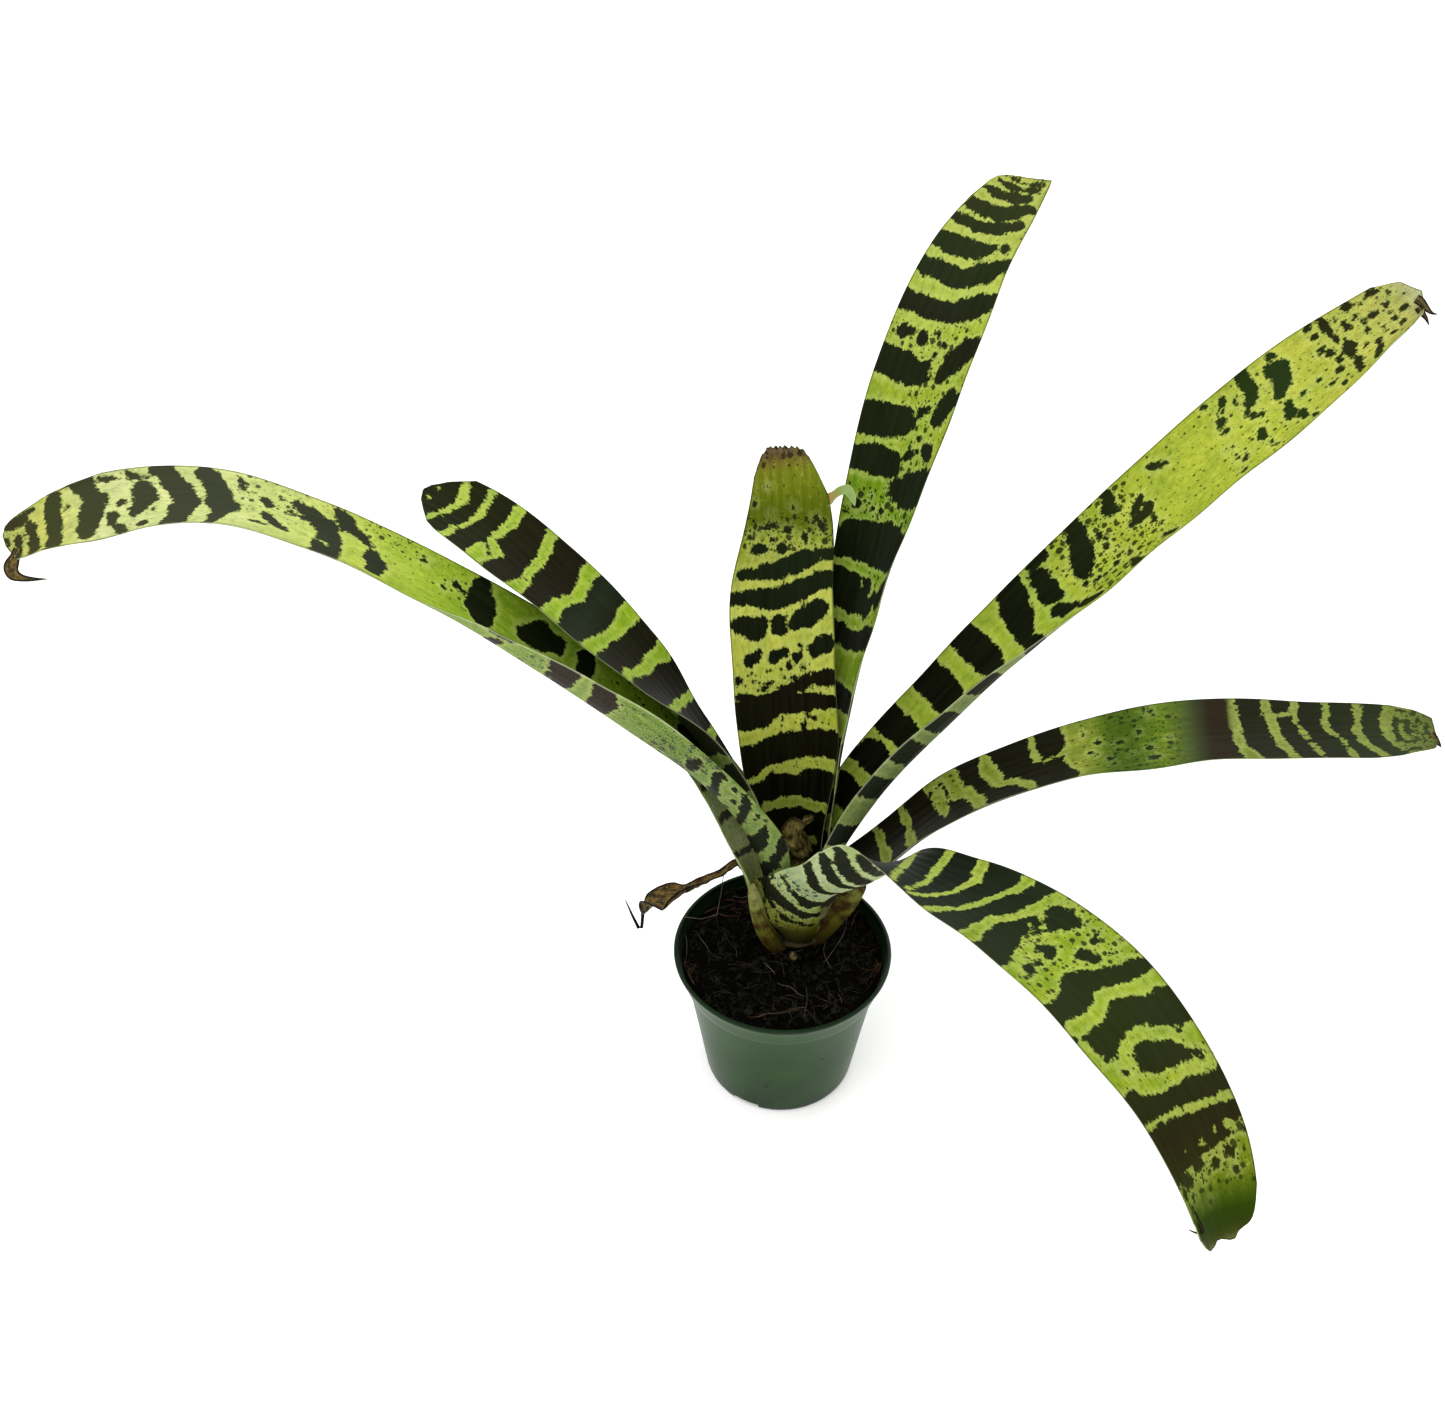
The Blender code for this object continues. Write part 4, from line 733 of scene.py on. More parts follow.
def freckle_share(at, q, text):
    """How many freckles each point may carry, from 0 to 1, fading at a zone's edges."""
    most = np.zeros(at.shape)
    for zone in text.split(";"):
        low, high, right, left, strength = map(float, zone.split())
        inside = np.minimum.reduce([at - low, high - at, q - right + 4, left + 4 - q])
        most = np.maximum(most, strength * np.clip(inside / FRECKLE_FADE + 0.4, 0.0, 1.0))
    return most


def colour_along(at, text):
    """Linear colours between the stops, each a length in millimetres and an sRGB hex value."""
    places, codes = zip(*(stop.split() for stop in text.split(",")))
    places = [float(place) for place in places]
    channels = zip(*(colour("#" + code) for code in codes))
    return np.stack([np.interp(at, places, channel) for channel in channels], -1).reshape(-1, 4)


# %% [markdown]
# ## Leaf finish
# A living bromeliad leaf is leathery and softly glossy, with fine veins along it, darker and paler
# streaks, and bands whose edges break up into teeth and dots. Noise stretched along the veins shifts
# the edge of each band, a second, finer one makes the teeth, and cells of a Voronoi pattern become
# freckles. The UV map holds millimetres along and across, so each pattern has its real size.

# %% Leaf material: what it reads
# The leathery skin gives a soft, broad sheen along the veins and hardly any mirror-like gloss.
leaf_skin, tree, shader = new_material("bromeliad leaf, banded and leathery")
leaf_uv = add(tree, "UVMap", uv_map="leaf")
read = {key: add(tree, "Attribute", (), output, attribute_name=key) for key, output in (
    ("mark", "Fac"), ("freckle", "Fac"), ("edge", "Fac"), ("under", "Fac"),
    ("ground", "Color"), ("band", "Color"))}

# Noise: the millimetres of a feature along and across the leaf, and its detail.
patterns = {}
for key, along_mm, across_mm, detail in (
    ("wobble", 6.5, 5.0, 4.0), ("teeth", 1.9, 1.2, 2.0), ("vein", 50.0, 0.8, 3.0),
    ("streak", 30.0, 2.2, 3.0), ("patch", 22.0, 12.0, 3.0), ("grain", 0.7, 0.5, 1.0),
    ("mottle", 3.4, 2.2, 3.0), ("dash", 2.6, 0.7, 2.0),
):
    mapped = add(tree, "Mapping", {"Vector": leaf_uv, "Scale": (UV_MM / along_mm, UV_MM / across_mm, 1.0)})
    patterns[key] = add(tree, "TexNoise", {"Vector": mapped, "Scale": 1.0, "Detail": detail,
                                           "Roughness": 0.55}, "Fac")
print(len(patterns), "patterns in the leaf material")

# %% Leaf material: band edges and freckles
# The noise shifts each band's edge to either side, by this many millimetres in all.
rough_mark = read["mark"]
for key, reach in (("wobble", 6.0), ("teeth", 3.6)):
    centred = add(tree, "Math", [patterns[key], 0.5], operation="SUBTRACT")
    rough_mark = add(tree, "Math", [centred, reach, rough_mark], operation="MULTIPLY_ADD")
ground_green = add(tree, "SeparateColor", {"Color": read["ground"]}, "Green")
shares = {}
for key, source, gain, offset in (
    ("banded", rough_mark, 2.4, 0.5), ("fringe", rough_mark, 1.4, 1.1), ("halo", rough_mark, 0.36, 1.2),
    ("light_ground", ground_green, 8.0, -0.4),
):
    shares[key] = add(tree, "Math", [source, gain, offset], operation="MULTIPLY_ADD", use_clamp=True)
# Fringe and halo fade where the ground is dark itself, so that a band can begin softly.
for key in ("fringe", "halo"):
    shares[key] = add(tree, "Math", [shares[key], shares["light_ground"]], operation="MULTIPLY")

# Freckles of two sizes: the cell's millimetres along and across, and how the chance sets their reach.
dots = []
for cell_along, cell_across, least, most in ((4.6, 3.4, 0.05, 0.42), (2.1, 1.7, 0.0, 0.36)):
    scale = (UV_MM / cell_along, UV_MM / cell_across, 1.0)
    mapped = add(tree, "Mapping", {"Vector": leaf_uv, "Scale": scale})
    cells = add(tree, "TexVoronoi", {"Vector": mapped, "Scale": 1.0}, voronoi_dimensions="2D").node.outputs
    chance = add(tree, "SeparateColor", {"Color": cells["Color"]}, "Red")
    size = add(tree, "Math", [chance, most, least], operation="MULTIPLY_ADD")
    reach = add(tree, "Math", [read["freckle"], size], operation="MULTIPLY")
    outline = add(tree, "Math", [patterns["teeth"], 0.25, cells["Distance"]], operation="MULTIPLY_ADD")
    inside = add(tree, "Math", [reach, outline], operation="SUBTRACT")
    dots.append(add(tree, "Math", [inside, 9.0, 1.3], operation="MULTIPLY_ADD", use_clamp=True))
freckled = add(tree, "Math", [add(tree, "Math", dots, operation="MAXIMUM"), 0.9], operation="MULTIPLY")
dark_share = add(tree, "Math", [shares["banded"], freckled], operation="MAXIMUM")
print(len(tree.nodes), "nodes up to the freckles")

# %% Leaf material: colours from the ground up
# The ground has patches and streaks, and small clouds and dashes of a darker and of a yellower green.
varied = laid_over(
    tree, read["ground"],
    (patterns["patch"], 0.3263, 0.8526, 0.6, "#4F7A1C"), (patterns["streak"], 0.375, 0.875, 0.3, "#C6C850"),
    (patterns["mottle"], 0.4875, 0.7375, 0.42, "#4C6A12"), (patterns["mottle"], 0.43, 0.23, 0.34, "#D3D668"),
    (patterns["dash"], 0.57, 0.77, 0.5, "#3A5610"))
band_tone = laid_over(tree, read["band"], (patterns["streak"], 0.3438, 0.9688, 0.07, "#5F6A30"))
# The margin's tone: a dark line of painted shade on the upper face, pale on the under face.
margin_shade_and_pale_rim = laid_over(tree, colour("#1C260C"), (read["under"], 0.0, 1.0, 1.0, "#B4BC94"))
# The under face carries tiny pale scales, fewer on the bands.
scaly = add(tree, "Math", [shares["banded"], -0.32, 0.38], operation="MULTIPLY_ADD")
grain = add(tree, "Math", [patterns["grain"], 3.0, -1.35], operation="MULTIPLY_ADD", use_clamp=True)
scales = add(tree, "Math", [add(tree, "Math", [read["under"], scaly], operation="MULTIPLY"), grain],
             operation="MULTIPLY")
# Then come a paler rim round each band, its dark fringe, the bands, the veins, the thin margin, and
# the scales. On the upper face the margin is a dark line of painted shade along the leaf's edge; on the
# under face it is pale.
leaf_colour = laid_over(
    tree, read["ground"],
    (shares["light_ground"], 0.0, 1.0, 1.0, varied), (shares["halo"], 0.0, 1.0, 0.26, "#D2DA80"),
    (shares["fringe"], 0.0, 1.0, 0.6, "#465C14"), (dark_share, 0.0, 1.0, 1.0, band_tone),
    (patterns["vein"], 0.2917, 1.125, 0.36, "#1C2409"), (read["edge"], 0.7727, 0.3182, 0.6, margin_shade_and_pale_rim),
    (scales, 0.0, 1.0, 1.0, "#C8D2B0"))
VEIN_DEPTH = 0.00012
relief = add(tree, "Math", [patterns["grain"], 0.25, patterns["vein"]], operation="MULTIPLY_ADD")
streaky = add(tree, "Math", [patterns["streak"], 0.16, 0.34], operation="MULTIPLY_ADD")
fill(tree, shader, {
    "Base Color": leaf_colour, "Specular IOR Level": 0.03,
    "Roughness": add(tree, "Math", [read["under"], 0.12, streaky], operation="MULTIPLY_ADD"),
    "Normal": add(tree, "Bump", {"Strength": 0.6, "Distance": VEIN_DEPTH, "Height": relief})})
print(len(tree.nodes), "nodes in the leaf material")

# %% [markdown]
# ## The eight leaves
# A grid is laid on each leaf's surface, with its last stretch drawn in or out to the leaf's own
# outline. The margins wave a little and the blade has faint lengthwise channels, so that the sheen
# breaks up. The strokes are worked out at the grid's points and kept as attributes.

# %% Leaf ends
# For each leaf: where its end lies, as (share across, length along), from the right edge to the left.
ENDS = {
    "leaf_1_left": [
        (-1, 396), (-0.98, 408), (-0.97, 415), (-0.94, 425.7), (-0.87, 434.7), (-0.76, 438.8), (-0.56, 441),
        (-0.25, 441.1), (0.07, 439.5), (0.6, 436.3), (0.74, 432.4), (0.96, 422.9), (1, 412)],
    "leaf_2_upper_left": [
        (-1, 265), (-0.7, 274.4), (-0.38, 280.4), (-0.12, 282.8), (0.2, 281.3), (0.57, 277), (0.82, 273.7),
        (0.95, 268), (1, 255)],
    "leaf_3_centre": [
        (-1, 211.3), (-0.97, 216.2), (-0.93, 221.4), (-0.88, 226.5), (-0.8, 229.2), (-0.75, 231.4),
        (-0.66, 230.6), (-0.55, 232.6), (-0.47, 231.6), (-0.36, 233.0), (-0.22, 231.9), (-0.09, 233.6),
        (0.02, 232.2), (0.12, 233.8), (0.2, 232.4), (0.31, 234.0), (0.42, 232.6), (0.5, 234.6),
        (0.56, 233.0), (0.69, 233.4), (0.76, 231.0), (0.83, 230.6), (0.88, 228.4), (0.93, 228.2), (1, 221)],
    "leaf_4_upper_right": [
        (-1, 370.1), (-0.97, 373.6), (-0.44, 371.8), (-0.04, 370.4), (0.35, 369), (0.69, 366.8),
        (0.87, 364.4), (0.96, 360.6), (1, 350)],
    "leaf_5_right": [
        (-1, 377), (-0.87, 383.3), (-0.57, 388.8), (-0.38, 394), (-0.16, 397.9), (0.16, 399.7),
        (0.33, 401.1), (0.54, 399.1), (0.76, 397.3), (0.84, 395.2), (1, 386)],
    "leaf_6_right_low": [
        (-1, 304), (-0.83, 313.6), (-0.76, 318.3), (-0.4, 320.1), (0.27, 320.3), (0.61, 320.3),
        (0.76, 317.9), (0.9, 314.1), (1, 304)],
    "leaf_7_front_right": [
        (-1, 334), (-0.7, 344.5), (-0.37, 351.1), (-0.17, 351), (-0.06, 349.5), (0.09, 349.8), (0.3, 351.6),
        (0.42, 351.6), (0.51, 349.4), (0.68, 347.8), (0.8, 346.6), (0.89, 344), (0.95, 339.8), (1, 333)],
    "leaf_8_under_left": [
        (-1, 104), (-0.8, 112), (-0.5, 117), (0, 118.5), (0.5, 117), (0.8, 112), (1, 104)],
    "young_leaf": [(-1, 35), (-0.5, 39), (0, 40.5), (0.5, 39), (1, 35)],
}
# Leaf 7's sheath is wider on its right side and open on its left, so that leaf 6's foot shows beside
# it. Each row is the length along the leaf and the millimetres from its middle to either margin.
FOOT_MARGINS = {"leaf_7_front_right": [
    (0, -24.0, -5.5), (8, -27.0, -6.0), (14, -30.5, -5.8), (20, -33.0, -5.2), (26, -34.5, -3.0),
    (30, -35.0, -1.5), (34, -35.5, -0.5), (38, -35.0, 0.5), (41, -31.0, 1.2), (45, -28.0, 1.8),
    (50, -26.5, 2.4), (56, -25.2, 3.2), (62, -24.0, 4.4), (70, -22.8, 6.2), (77, -22.5, 9.0),
    (85, -22.5, 14.0), (94, -22.5, 22.5)]}
# Stretches of the foot where the margin shows no line, in millimetres along the leaf.
PLAIN_MARGINS = {"leaf_1_left": (-10.0, 140.0), "leaf_7_front_right": (-10.0, 78.0),
                 "leaf_8_under_left": (-10.0, 60.0)}
# The end of leaf 3 has dried and crumpled: where it starts, and how deep it folds.
CRUMPLED_ENDS = {"leaf_3_centre": (219.0, 1.5)}
print(len(ENDS), "leaf ends")

# %% Grid and relief of a leaf
# Rows of the grid lie this far apart, and its last stretch, so long, is drawn to the leaf's end.
ROW_SPACING = 1.4
END_REACH = 45.0


def leaf_grid(name, across):
    """Lengths and shares for a leaf's grid, drawn to its end and its foot, and its length per share."""
    ribbon = ribbons[name]
    along = np.linspace(0.0, ribbon.length, round(ribbon.length / ROW_SPACING) + 1)
    at, share = np.meshgrid(along, np.linspace(-1.0, 1.0, across + 1), indexing="ij")
    end_at = np.interp(share, *zip(*ENDS[name]))
    reach = min(END_REACH, ribbon.length * 0.4)
    start = ribbon.length - reach
    at = np.where(at > start, start + (at - start) * (end_at - start) / reach, at)
    if name in FOOT_MARGINS:
        foot_at, right, left = np.array(FOOT_MARGINS[name]).T
        half = ribbon.half_width(at)
        low = np.where(at < foot_at[-1], np.interp(at, foot_at, right) / half, -1.0)
        high = np.where(at < foot_at[-1], np.interp(at, foot_at, left) / half, 1.0)
        share = np.where(share < 0, np.abs(share) * low, share * high)
    return at, share, end_at


def surface_relief(at, q, share, seed):
    """How far a leaf's points stand off its smooth surface, in millimetres: waves and channels."""
    phase = seed * 1.7
    wave = (0.55 * np.sin(at / 17.0 + phase) + 0.35 * np.sin(at / 7.3 + 2.1 * phase)) * np.sign(share)
    wave += 0.3 * np.sin(at / 11.0 + 0.6 * phase)
    free = np.clip(at / 60.0 - 0.6, 0.0, 1.0)
    ripple = 0.10 * np.sin(q * 1.35 + phase) + 0.07 * np.sin(q * 2.6 + 1.3 * phase)
    return (wave * np.minimum(np.abs(share), 1.0) ** 4 + ripple) * free


# %% Mesh of a leaf
# The margins have this share of the thickness. A stain fades over so many millimetres, is at its
# lightest this far up the leaf, and hides so much of the under face's pale scales.
MARGIN_SHARE = 0.55
STAIN_FADE = 7.0
STAIN_LIGHT_AT = 24.0
STAIN_COVER = 0.85


def leaf_mesh(name, marks, seed, across=44):
    """The fine mesh of a leaf with its UV map and its attributes."""
    ribbon = ribbons[name]
    at, share, end_at = leaf_grid(name, across)
    points, faces = ribbon.surface(at, share)
    half = ribbon.half_width(at)
    q = share * half
    points = points + faces * surface_relief(at, q, share, seed)[..., None]
    if name in CRUMPLED_ENDS:
        start_at, depth = CRUMPLED_ENDS[name]
        for spot in zip(*np.nonzero(at > start_at)):
            dryness = min((at[spot] - start_at) / (ribbon.length - start_at), 1.2)
            fold = noise.noise(Vector((q[spot] / 2.2, at[spot] / 3.0, 1.0)))
            fold += 0.6 * noise.noise(Vector((q[spot] / 0.9, at[spot] / 1.4, 5.0)))
            points[spot] += faces[spot] * fold * depth * dryness
    middle = 1.0 - np.minimum(np.abs(share), 1.0) ** 3
    mesh = with_thickness(laid_grid(points, at, q), LEAF_THICKNESS, MARGIN_SHARE, middle.ravel())

    edge = np.where(share < 0, share - share.min(axis=1, keepdims=True),
                    share.max(axis=1, keepdims=True) - share)
    edge = np.minimum(edge * half, end_at - at)
    if name in PLAIN_MARGINS:
        low_end, high_end = PLAIN_MARGINS[name]
        edge = edge + np.clip((high_end - at) / 10.0, 0.0, 1.0) * np.clip((at - low_end) / 6.0, 0.0, 1.0)
    for key, values in (("mark", mark_depth(at, q, marks)), ("edge", edge),
                        ("freckle", freckle_share(at, q, marks["freckles"]))):
        keep(mesh, key, np.tile(values.ravel(), 2))

    # Which half of the shell is the upper face shows in where its points lie.
    count = at.size
    co = np.empty(len(mesh.vertices) * 3, np.float32)
    mesh.vertices.foreach_get("co", co)
    lift = (co.reshape(-1, 3)[:count] - points.reshape(-1, 3) * MM) * faces.reshape(-1, 3)
    turn = 1 if lift.sum() > 0 else -1
    under = np.repeat((0.0, 1.0)[::turn], count)
    tones = {"ground": [colour_along(at, marks[key]) for key in ("ground", "under")],
             "band": [colour_along(at, marks[key]) for key in ("band", "under_band")]}
    if "stain" in marks:
        stain = np.clip(stroke_depth(at, q, marks["stain"]) / STAIN_FADE + 0.5, 0.0, 1.0).reshape(-1, 1)
        lightness = np.clip(at / STAIN_LIGHT_AT, 0.1, 1.0).reshape(-1, 1)
        tone = np.array(colour("#" + marks["stain_tone"])) * lightness
        tones["ground"] = [clean * (1 - stain) + tone * stain for clean in tones["ground"]]
        under = under * np.tile(1.0 - STAIN_COVER * stain[:, 0], 2)
    keep(mesh, "under", under)
    for key, both in tones.items():
        keep(mesh, key, np.concatenate(both[::turn]))
    return mesh


# %% Build the leaves
for seed, (name, marks) in enumerate(MARKS.items()):
    dressed(name + "_blade", leaf_mesh(name, marks, seed), leaf_skin, (name,))

# %% [markdown]
# ## Pot
# The pot is injection-moulded polypropylene: a thin tapered cup with a flared collar and a rolled
# lip. A profile is spun round the axis, and three drain notches are pushed into the corner of its
# base. The finish is a satin green, painted darker towards the foot as shade and near black inside
# as shade, a little dusty under the lip, where a paler band also paints the satin's sheen, with a few
# specks of soil.

# %% Pot finish
# The satin of the mould's fine grain gives a soft, broad sheen. The scales are features per metre:
# clouds of 22 mm, a grain of 1.1 mm, dust and painted sheen streaks of 5 by 17 mm, and specks in
# cells of 14 mm.
pot_skin, tree, shader = new_material("moulded polypropylene, satin nursery green")
place = add(tree, "TexCoord", (), "Object")
up = add(tree, "SeparateXYZ", [place], "Z")
cloud = add(tree, "TexNoise", {"Vector": place, "Scale": 45.0, "Detail": 4.0}, "Fac")
fine = add(tree, "TexNoise", {"Vector": place, "Scale": 900.0, "Detail": 2.0}, "Fac")
# Dust and a painted sheen lie in a band under the lip and in thin streaks down the collar.
under_lip = add(tree, "MapRange", [up, 0.066, 0.078, 0.0, 1.0])
stretched = add(tree, "Mapping", {"Vector": place, "Scale": (220.0, 220.0, 60.0)})
dust_and_sheen = add(tree, "TexNoise", {"Vector": stretched, "Scale": 1.0, "Detail": 3.0}, "Fac")
dust_and_sheen = add(tree, "Math", [dust_and_sheen, 2.4, -1.1], operation="MULTIPLY_ADD", use_clamp=True)
dust_and_sheen = add(tree, "Math", [under_lip, dust_and_sheen], operation="MULTIPLY")
specks = add(tree, "TexVoronoi", {"Vector": place, "Scale": 70.0}).node.outputs
chosen = add(tree, "SeparateColor", {"Color": specks["Color"]}, "Red")
chosen = add(tree, "Math", [chosen, 0.86], operation="GREATER_THAN")
speck = add(tree, "Math", [specks["Distance"], -30.0, 2.2], operation="MULTIPLY_ADD", use_clamp=True)
speck = add(tree, "Math", [speck, chosen], operation="MULTIPLY")
# From a darker green at the foot, painted shade, to the collar's green, with clouds, dust and painted sheen,
# a darker lip and the specks.
pot_colour = laid_over(
    tree, colour("#0C2808"),
    (up, 0.0, 0.080, 1.0, "#1F4018"), (cloud, 0.375, 1.0, 1.0, "#294A1F"), (dust_and_sheen, 0.0, 1.0, 0.2, "#7C8E6A"),
    (up, 0.0795, 0.0803, 0.85, "#0D1C0E"), (speck, 0.0, 1.0, 0.75, "#2A2A1C"))
# Two crumbs of soil stick to the front of the wall.
for crumb, crumb_size in (((0.0194, -0.0394, 0.0448), 0.0011), ((-0.0079, -0.0401, 0.0242), 0.0013)):
    away = add(tree, "VectorMath", [place, crumb], "Value", operation="DISTANCE")
    outside = add(tree, "Math", [away, crumb_size + 0.0004], operation="SUBTRACT")
    ragged = add(tree, "Math", [fine, 0.0008, outside], operation="MULTIPLY_ADD")
    pot_colour = laid_over(tree, pot_colour, (ragged, 0.0002, -0.0002, 1.0, "#0E140A"))
# Inside the wall and in the notches' recesses the pot is painted near black: painted shade.
painted_shade_inside = add(tree, "Attribute", (), "Fac", attribute_name="inside")
dusty = add(tree, "Math", [dust_and_sheen, 0.2, 0.33], operation="MULTIPLY_ADD")
fill(tree, shader, {
    "Base Color": laid_over(tree, pot_colour, (painted_shade_inside, 0.0, 1.0, 0.88, "#050A06")),
    "Roughness": add(tree, "Math", [cloud, 0.16, dusty], operation="MULTIPLY_ADD"),
    "Specular IOR Level": 0.06, "Coat Weight": 0.1, "Coat Roughness": 0.22,
    "Sheen Weight": 0.12, "Sheen Roughness": 0.2,
    "Normal": add(tree, "Bump", {"Strength": 0.25, "Distance": 0.0002, "Height": fine})})
print(len(tree.nodes), "nodes in the pot's material")

# %% Pot shape
POT_SEGMENTS = 144
pot_outside = [
    (0.0, 0.0), (34.6, 0.0), (35.8, 0.25), (36.9, 1.0), (37.5, 2.2), (37.9, 4.0),
    (42.4, 35.0), (47.05, 65.2), (47.25, 65.8), (48.0, 66.5), (48.8, 67.3), (49.6, 70.0), (51.4, 76.0),
    (52.6, 79.4), (53.0, 79.8), (53.3, 80.4), (53.3, 81.3), (52.9, 81.9), (52.4, 82.0),
]
pot_inside = [
    (51.9, 82.0), (51.4, 81.6), (51.2, 80.0), (50.0, 76.0), (48.2, 70.0), (46.0, 66.0), (45.6, 64.0),
    (41.0, 35.0), (36.4, 4.0), (35.6, 2.4), (34.0, 1.9), (0.0, 1.8),
]
# In a notch these points of the profile are pushed in and up, into a recess that is painted dark as shade.
NOTCH_ANGLES = (-119.0, -10.0, 112.0)
NOTCH_HALF_ANGLE = 10.5
NOTCH_SHAPE = {
    (34.6, 0.0): (33.0, 0.0), (35.8, 0.25): (33.2, 1.2), (36.9, 1.0): (33.4, 2.6), (37.5, 2.2): (34.4, 3.4),
    (37.9, 4.0): (37.9, 4.0), (36.4, 4.0): (36.3, 6.0), (35.6, 2.4): (33.6, 5.4), (34.0, 1.9): (31.6, 4.4)}
SAME_POINT = 0.05
# A point counts as inside where it lies this far within the wall, and inside points are painted dark as
# shade. The foot itself, under the pot, is dark too.
WALL_DEPTH, FOOT_DEPTH, FOOT_TOP = 0.75, 0.3, 0.003

pot_bm = spun(pot_outside + pot_inside, POT_SEGMENTS)
for vert in pot_bm.verts:
    radius, height = math.hypot(vert.co.x, vert.co.y) / MM, vert.co.z / MM
    angle = math.degrees(math.atan2(vert.co.y, vert.co.x))
    aside = min(abs((angle - middle + 180.0) % 360.0 - 180.0) for middle in NOTCH_ANGLES)
    if aside < NOTCH_HALF_ANGLE:
        for old, (new_radius, new_height) in NOTCH_SHAPE.items():
            if abs(radius - old[0]) < SAME_POINT and abs(height - old[1]) < SAME_POINT:
                ragged = 0.25 * noise.noise(Vector((angle / 2.0, old[1], old[0])))
                vert.co.x *= new_radius / radius
                vert.co.y *= new_radius / radius
                vert.co.z = max(new_height + ragged, 0.0) * MM if new_height else 0.0
                break
shaded_inside_layer = pot_bm.verts.layers.float.new("inside")
wall_radii, wall_heights = zip(*pot_outside[5:])
for vert in pot_bm.verts:
    depth = np.interp(vert.co.z / MM, wall_heights, wall_radii) - math.hypot(vert.co.x, vert.co.y) / MM
    vert[shaded_inside_layer] = float(depth > (FOOT_DEPTH if vert.co.z < FOOT_TOP else WALL_DEPTH))
finished("pot_shell", pot_bm, pot_skin, ("pot",), 32.0)

# %% [markdown]
# ## Potting mix
# Peat and bark, almost black when moist. The ground is a spun disc whose top is pushed up and down
# by noise, from broad swells to crumbs of a millimetre.

# %% Soil ground
SOIL_TOP = 75.0
SOIL_RADIUS = 49.0


def soil_height(x, y):
    """The soil's height at a place, in millimetres, without its finest lumps."""
    swell = math.sin(0.21 * x + 0.9) * math.cos(0.17 * y - 0.4) + 0.5 * math.sin(0.43 * x - 0.31 * y)
    lumps = noise.noise(Vector((x / 7.0, y / 7.0, 1.0))) * 1.6
    return SOIL_TOP + 0.9 * swell + lumps - 0.4


soil_side = [(0.0, 2.2), (34.0, 2.3), (35.4, 3.2), (44.6, 64.0), (47.6, 70.0), (SOIL_RADIUS, 74.0)]
soil_rings = [(radius, SOIL_TOP) for radius in np.linspace(SOIL_RADIUS, 0.0, 50)]
soil_bm = spun(soil_side + soil_rings, 180)
for vert in soil_bm.verts:
    if vert.co.z > (SOIL_TOP - 0.1) * MM:
        x, y, _ = vert.co / MM
        lumps = noise.noise(Vector((x / 2.6, y / 2.6, 4.0))) * 0.9
        crumbs = noise.noise(Vector((x / 1.1, y / 1.1, 9.0))) * 0.45
        vert.co.z = (soil_height(x, y) + lumps + crumbs) * MM
# Moist peat is nearly black and swallows the light. Its lumps are 2.4 mm, its browner crumbs 1.6 mm.
soil_skin, tree, shader = new_material("moist peat and bark mix")
place = add(tree, "TexCoord", (), "Object")
lump = add(tree, "TexNoise", {"Vector": place, "Scale": 420.0, "Detail": 6.0, "Roughness": 0.65}, "Fac")
crumb = add(tree, "TexVoronoi", {"Vector": place, "Scale": 620.0}, "Color")
fill(tree, shader, {
    "Base Color": laid_over(
        tree, colour("#010100"), (lump, 0.3409, 0.7955, 1.0, "#060503"),
        (add(tree, "SeparateColor", {"Color": crumb}, "Red"), 0.825, 1.075, 1.0, "#0F0C08")),
    "Roughness": 0.9, "Specular IOR Level": 0.03,
    "Normal": add(tree, "Bump", {"Strength": 0.9, "Distance": 0.0008, "Height": lump})})
finished("soil_ground", soil_bm, soil_skin, ("soil",), 80.0)

# %% [markdown]
# ## Bark, straw and fibres
# What lies on the mix: bark chips are squashed icospheres, half sunk, and roots, straw and fibres are
# thin bent strands. The large ones lie where the photo has them, the small ones at random. Bark,
# straw, stumps and stubs all get their tones from noise in the object's space, so one function makes
# these finishes.


# %% Helpers for loose bits
def mottled(name, ground, layers, constants, bump=None):
    """A material whose tones follow noise in the object's space.

    A layer is how many features a metre holds along X, Y and Z, the noise's detail, its values where
    the tone starts and where it is full, and the tone. The bump is a strength and a distance for the
    first noise.
    """
    made, tree, shader = new_material(name)
    place = add(tree, "TexCoord", (), "Object")
    heights, tones = [], []
    for scale, detail, starts, full, tone in layers:
        mapped = add(tree, "Mapping", {"Vector": place, "Scale": scale})
        heights.append(add(tree, "TexNoise", {"Vector": mapped, "Scale": 1.0, "Detail": detail}, "Fac"))
        tones.append((heights[-1], starts, full, 1.0, tone))
    fill(tree, shader, {"Base Color": laid_over(tree, colour(ground), *tones), **constants})
    if bump:
        strength, distance = bump
        relief = add(tree, "Bump", {"Strength": strength, "Distance": distance, "Height": heights[0]})
        fill(tree, shader, {"Normal": relief})
    return made


def spot_on_soil(least_from_plant):
    """A random place inside the pot, not under the plant."""
    while True:
        x, y = random.uniform(-48, 48), random.uniform(-48, 48)
        if math.hypot(x, y) < 47.0 and math.hypot(x - PLANT_X, y - PLANT_Y) > least_from_plant:
            return x, y


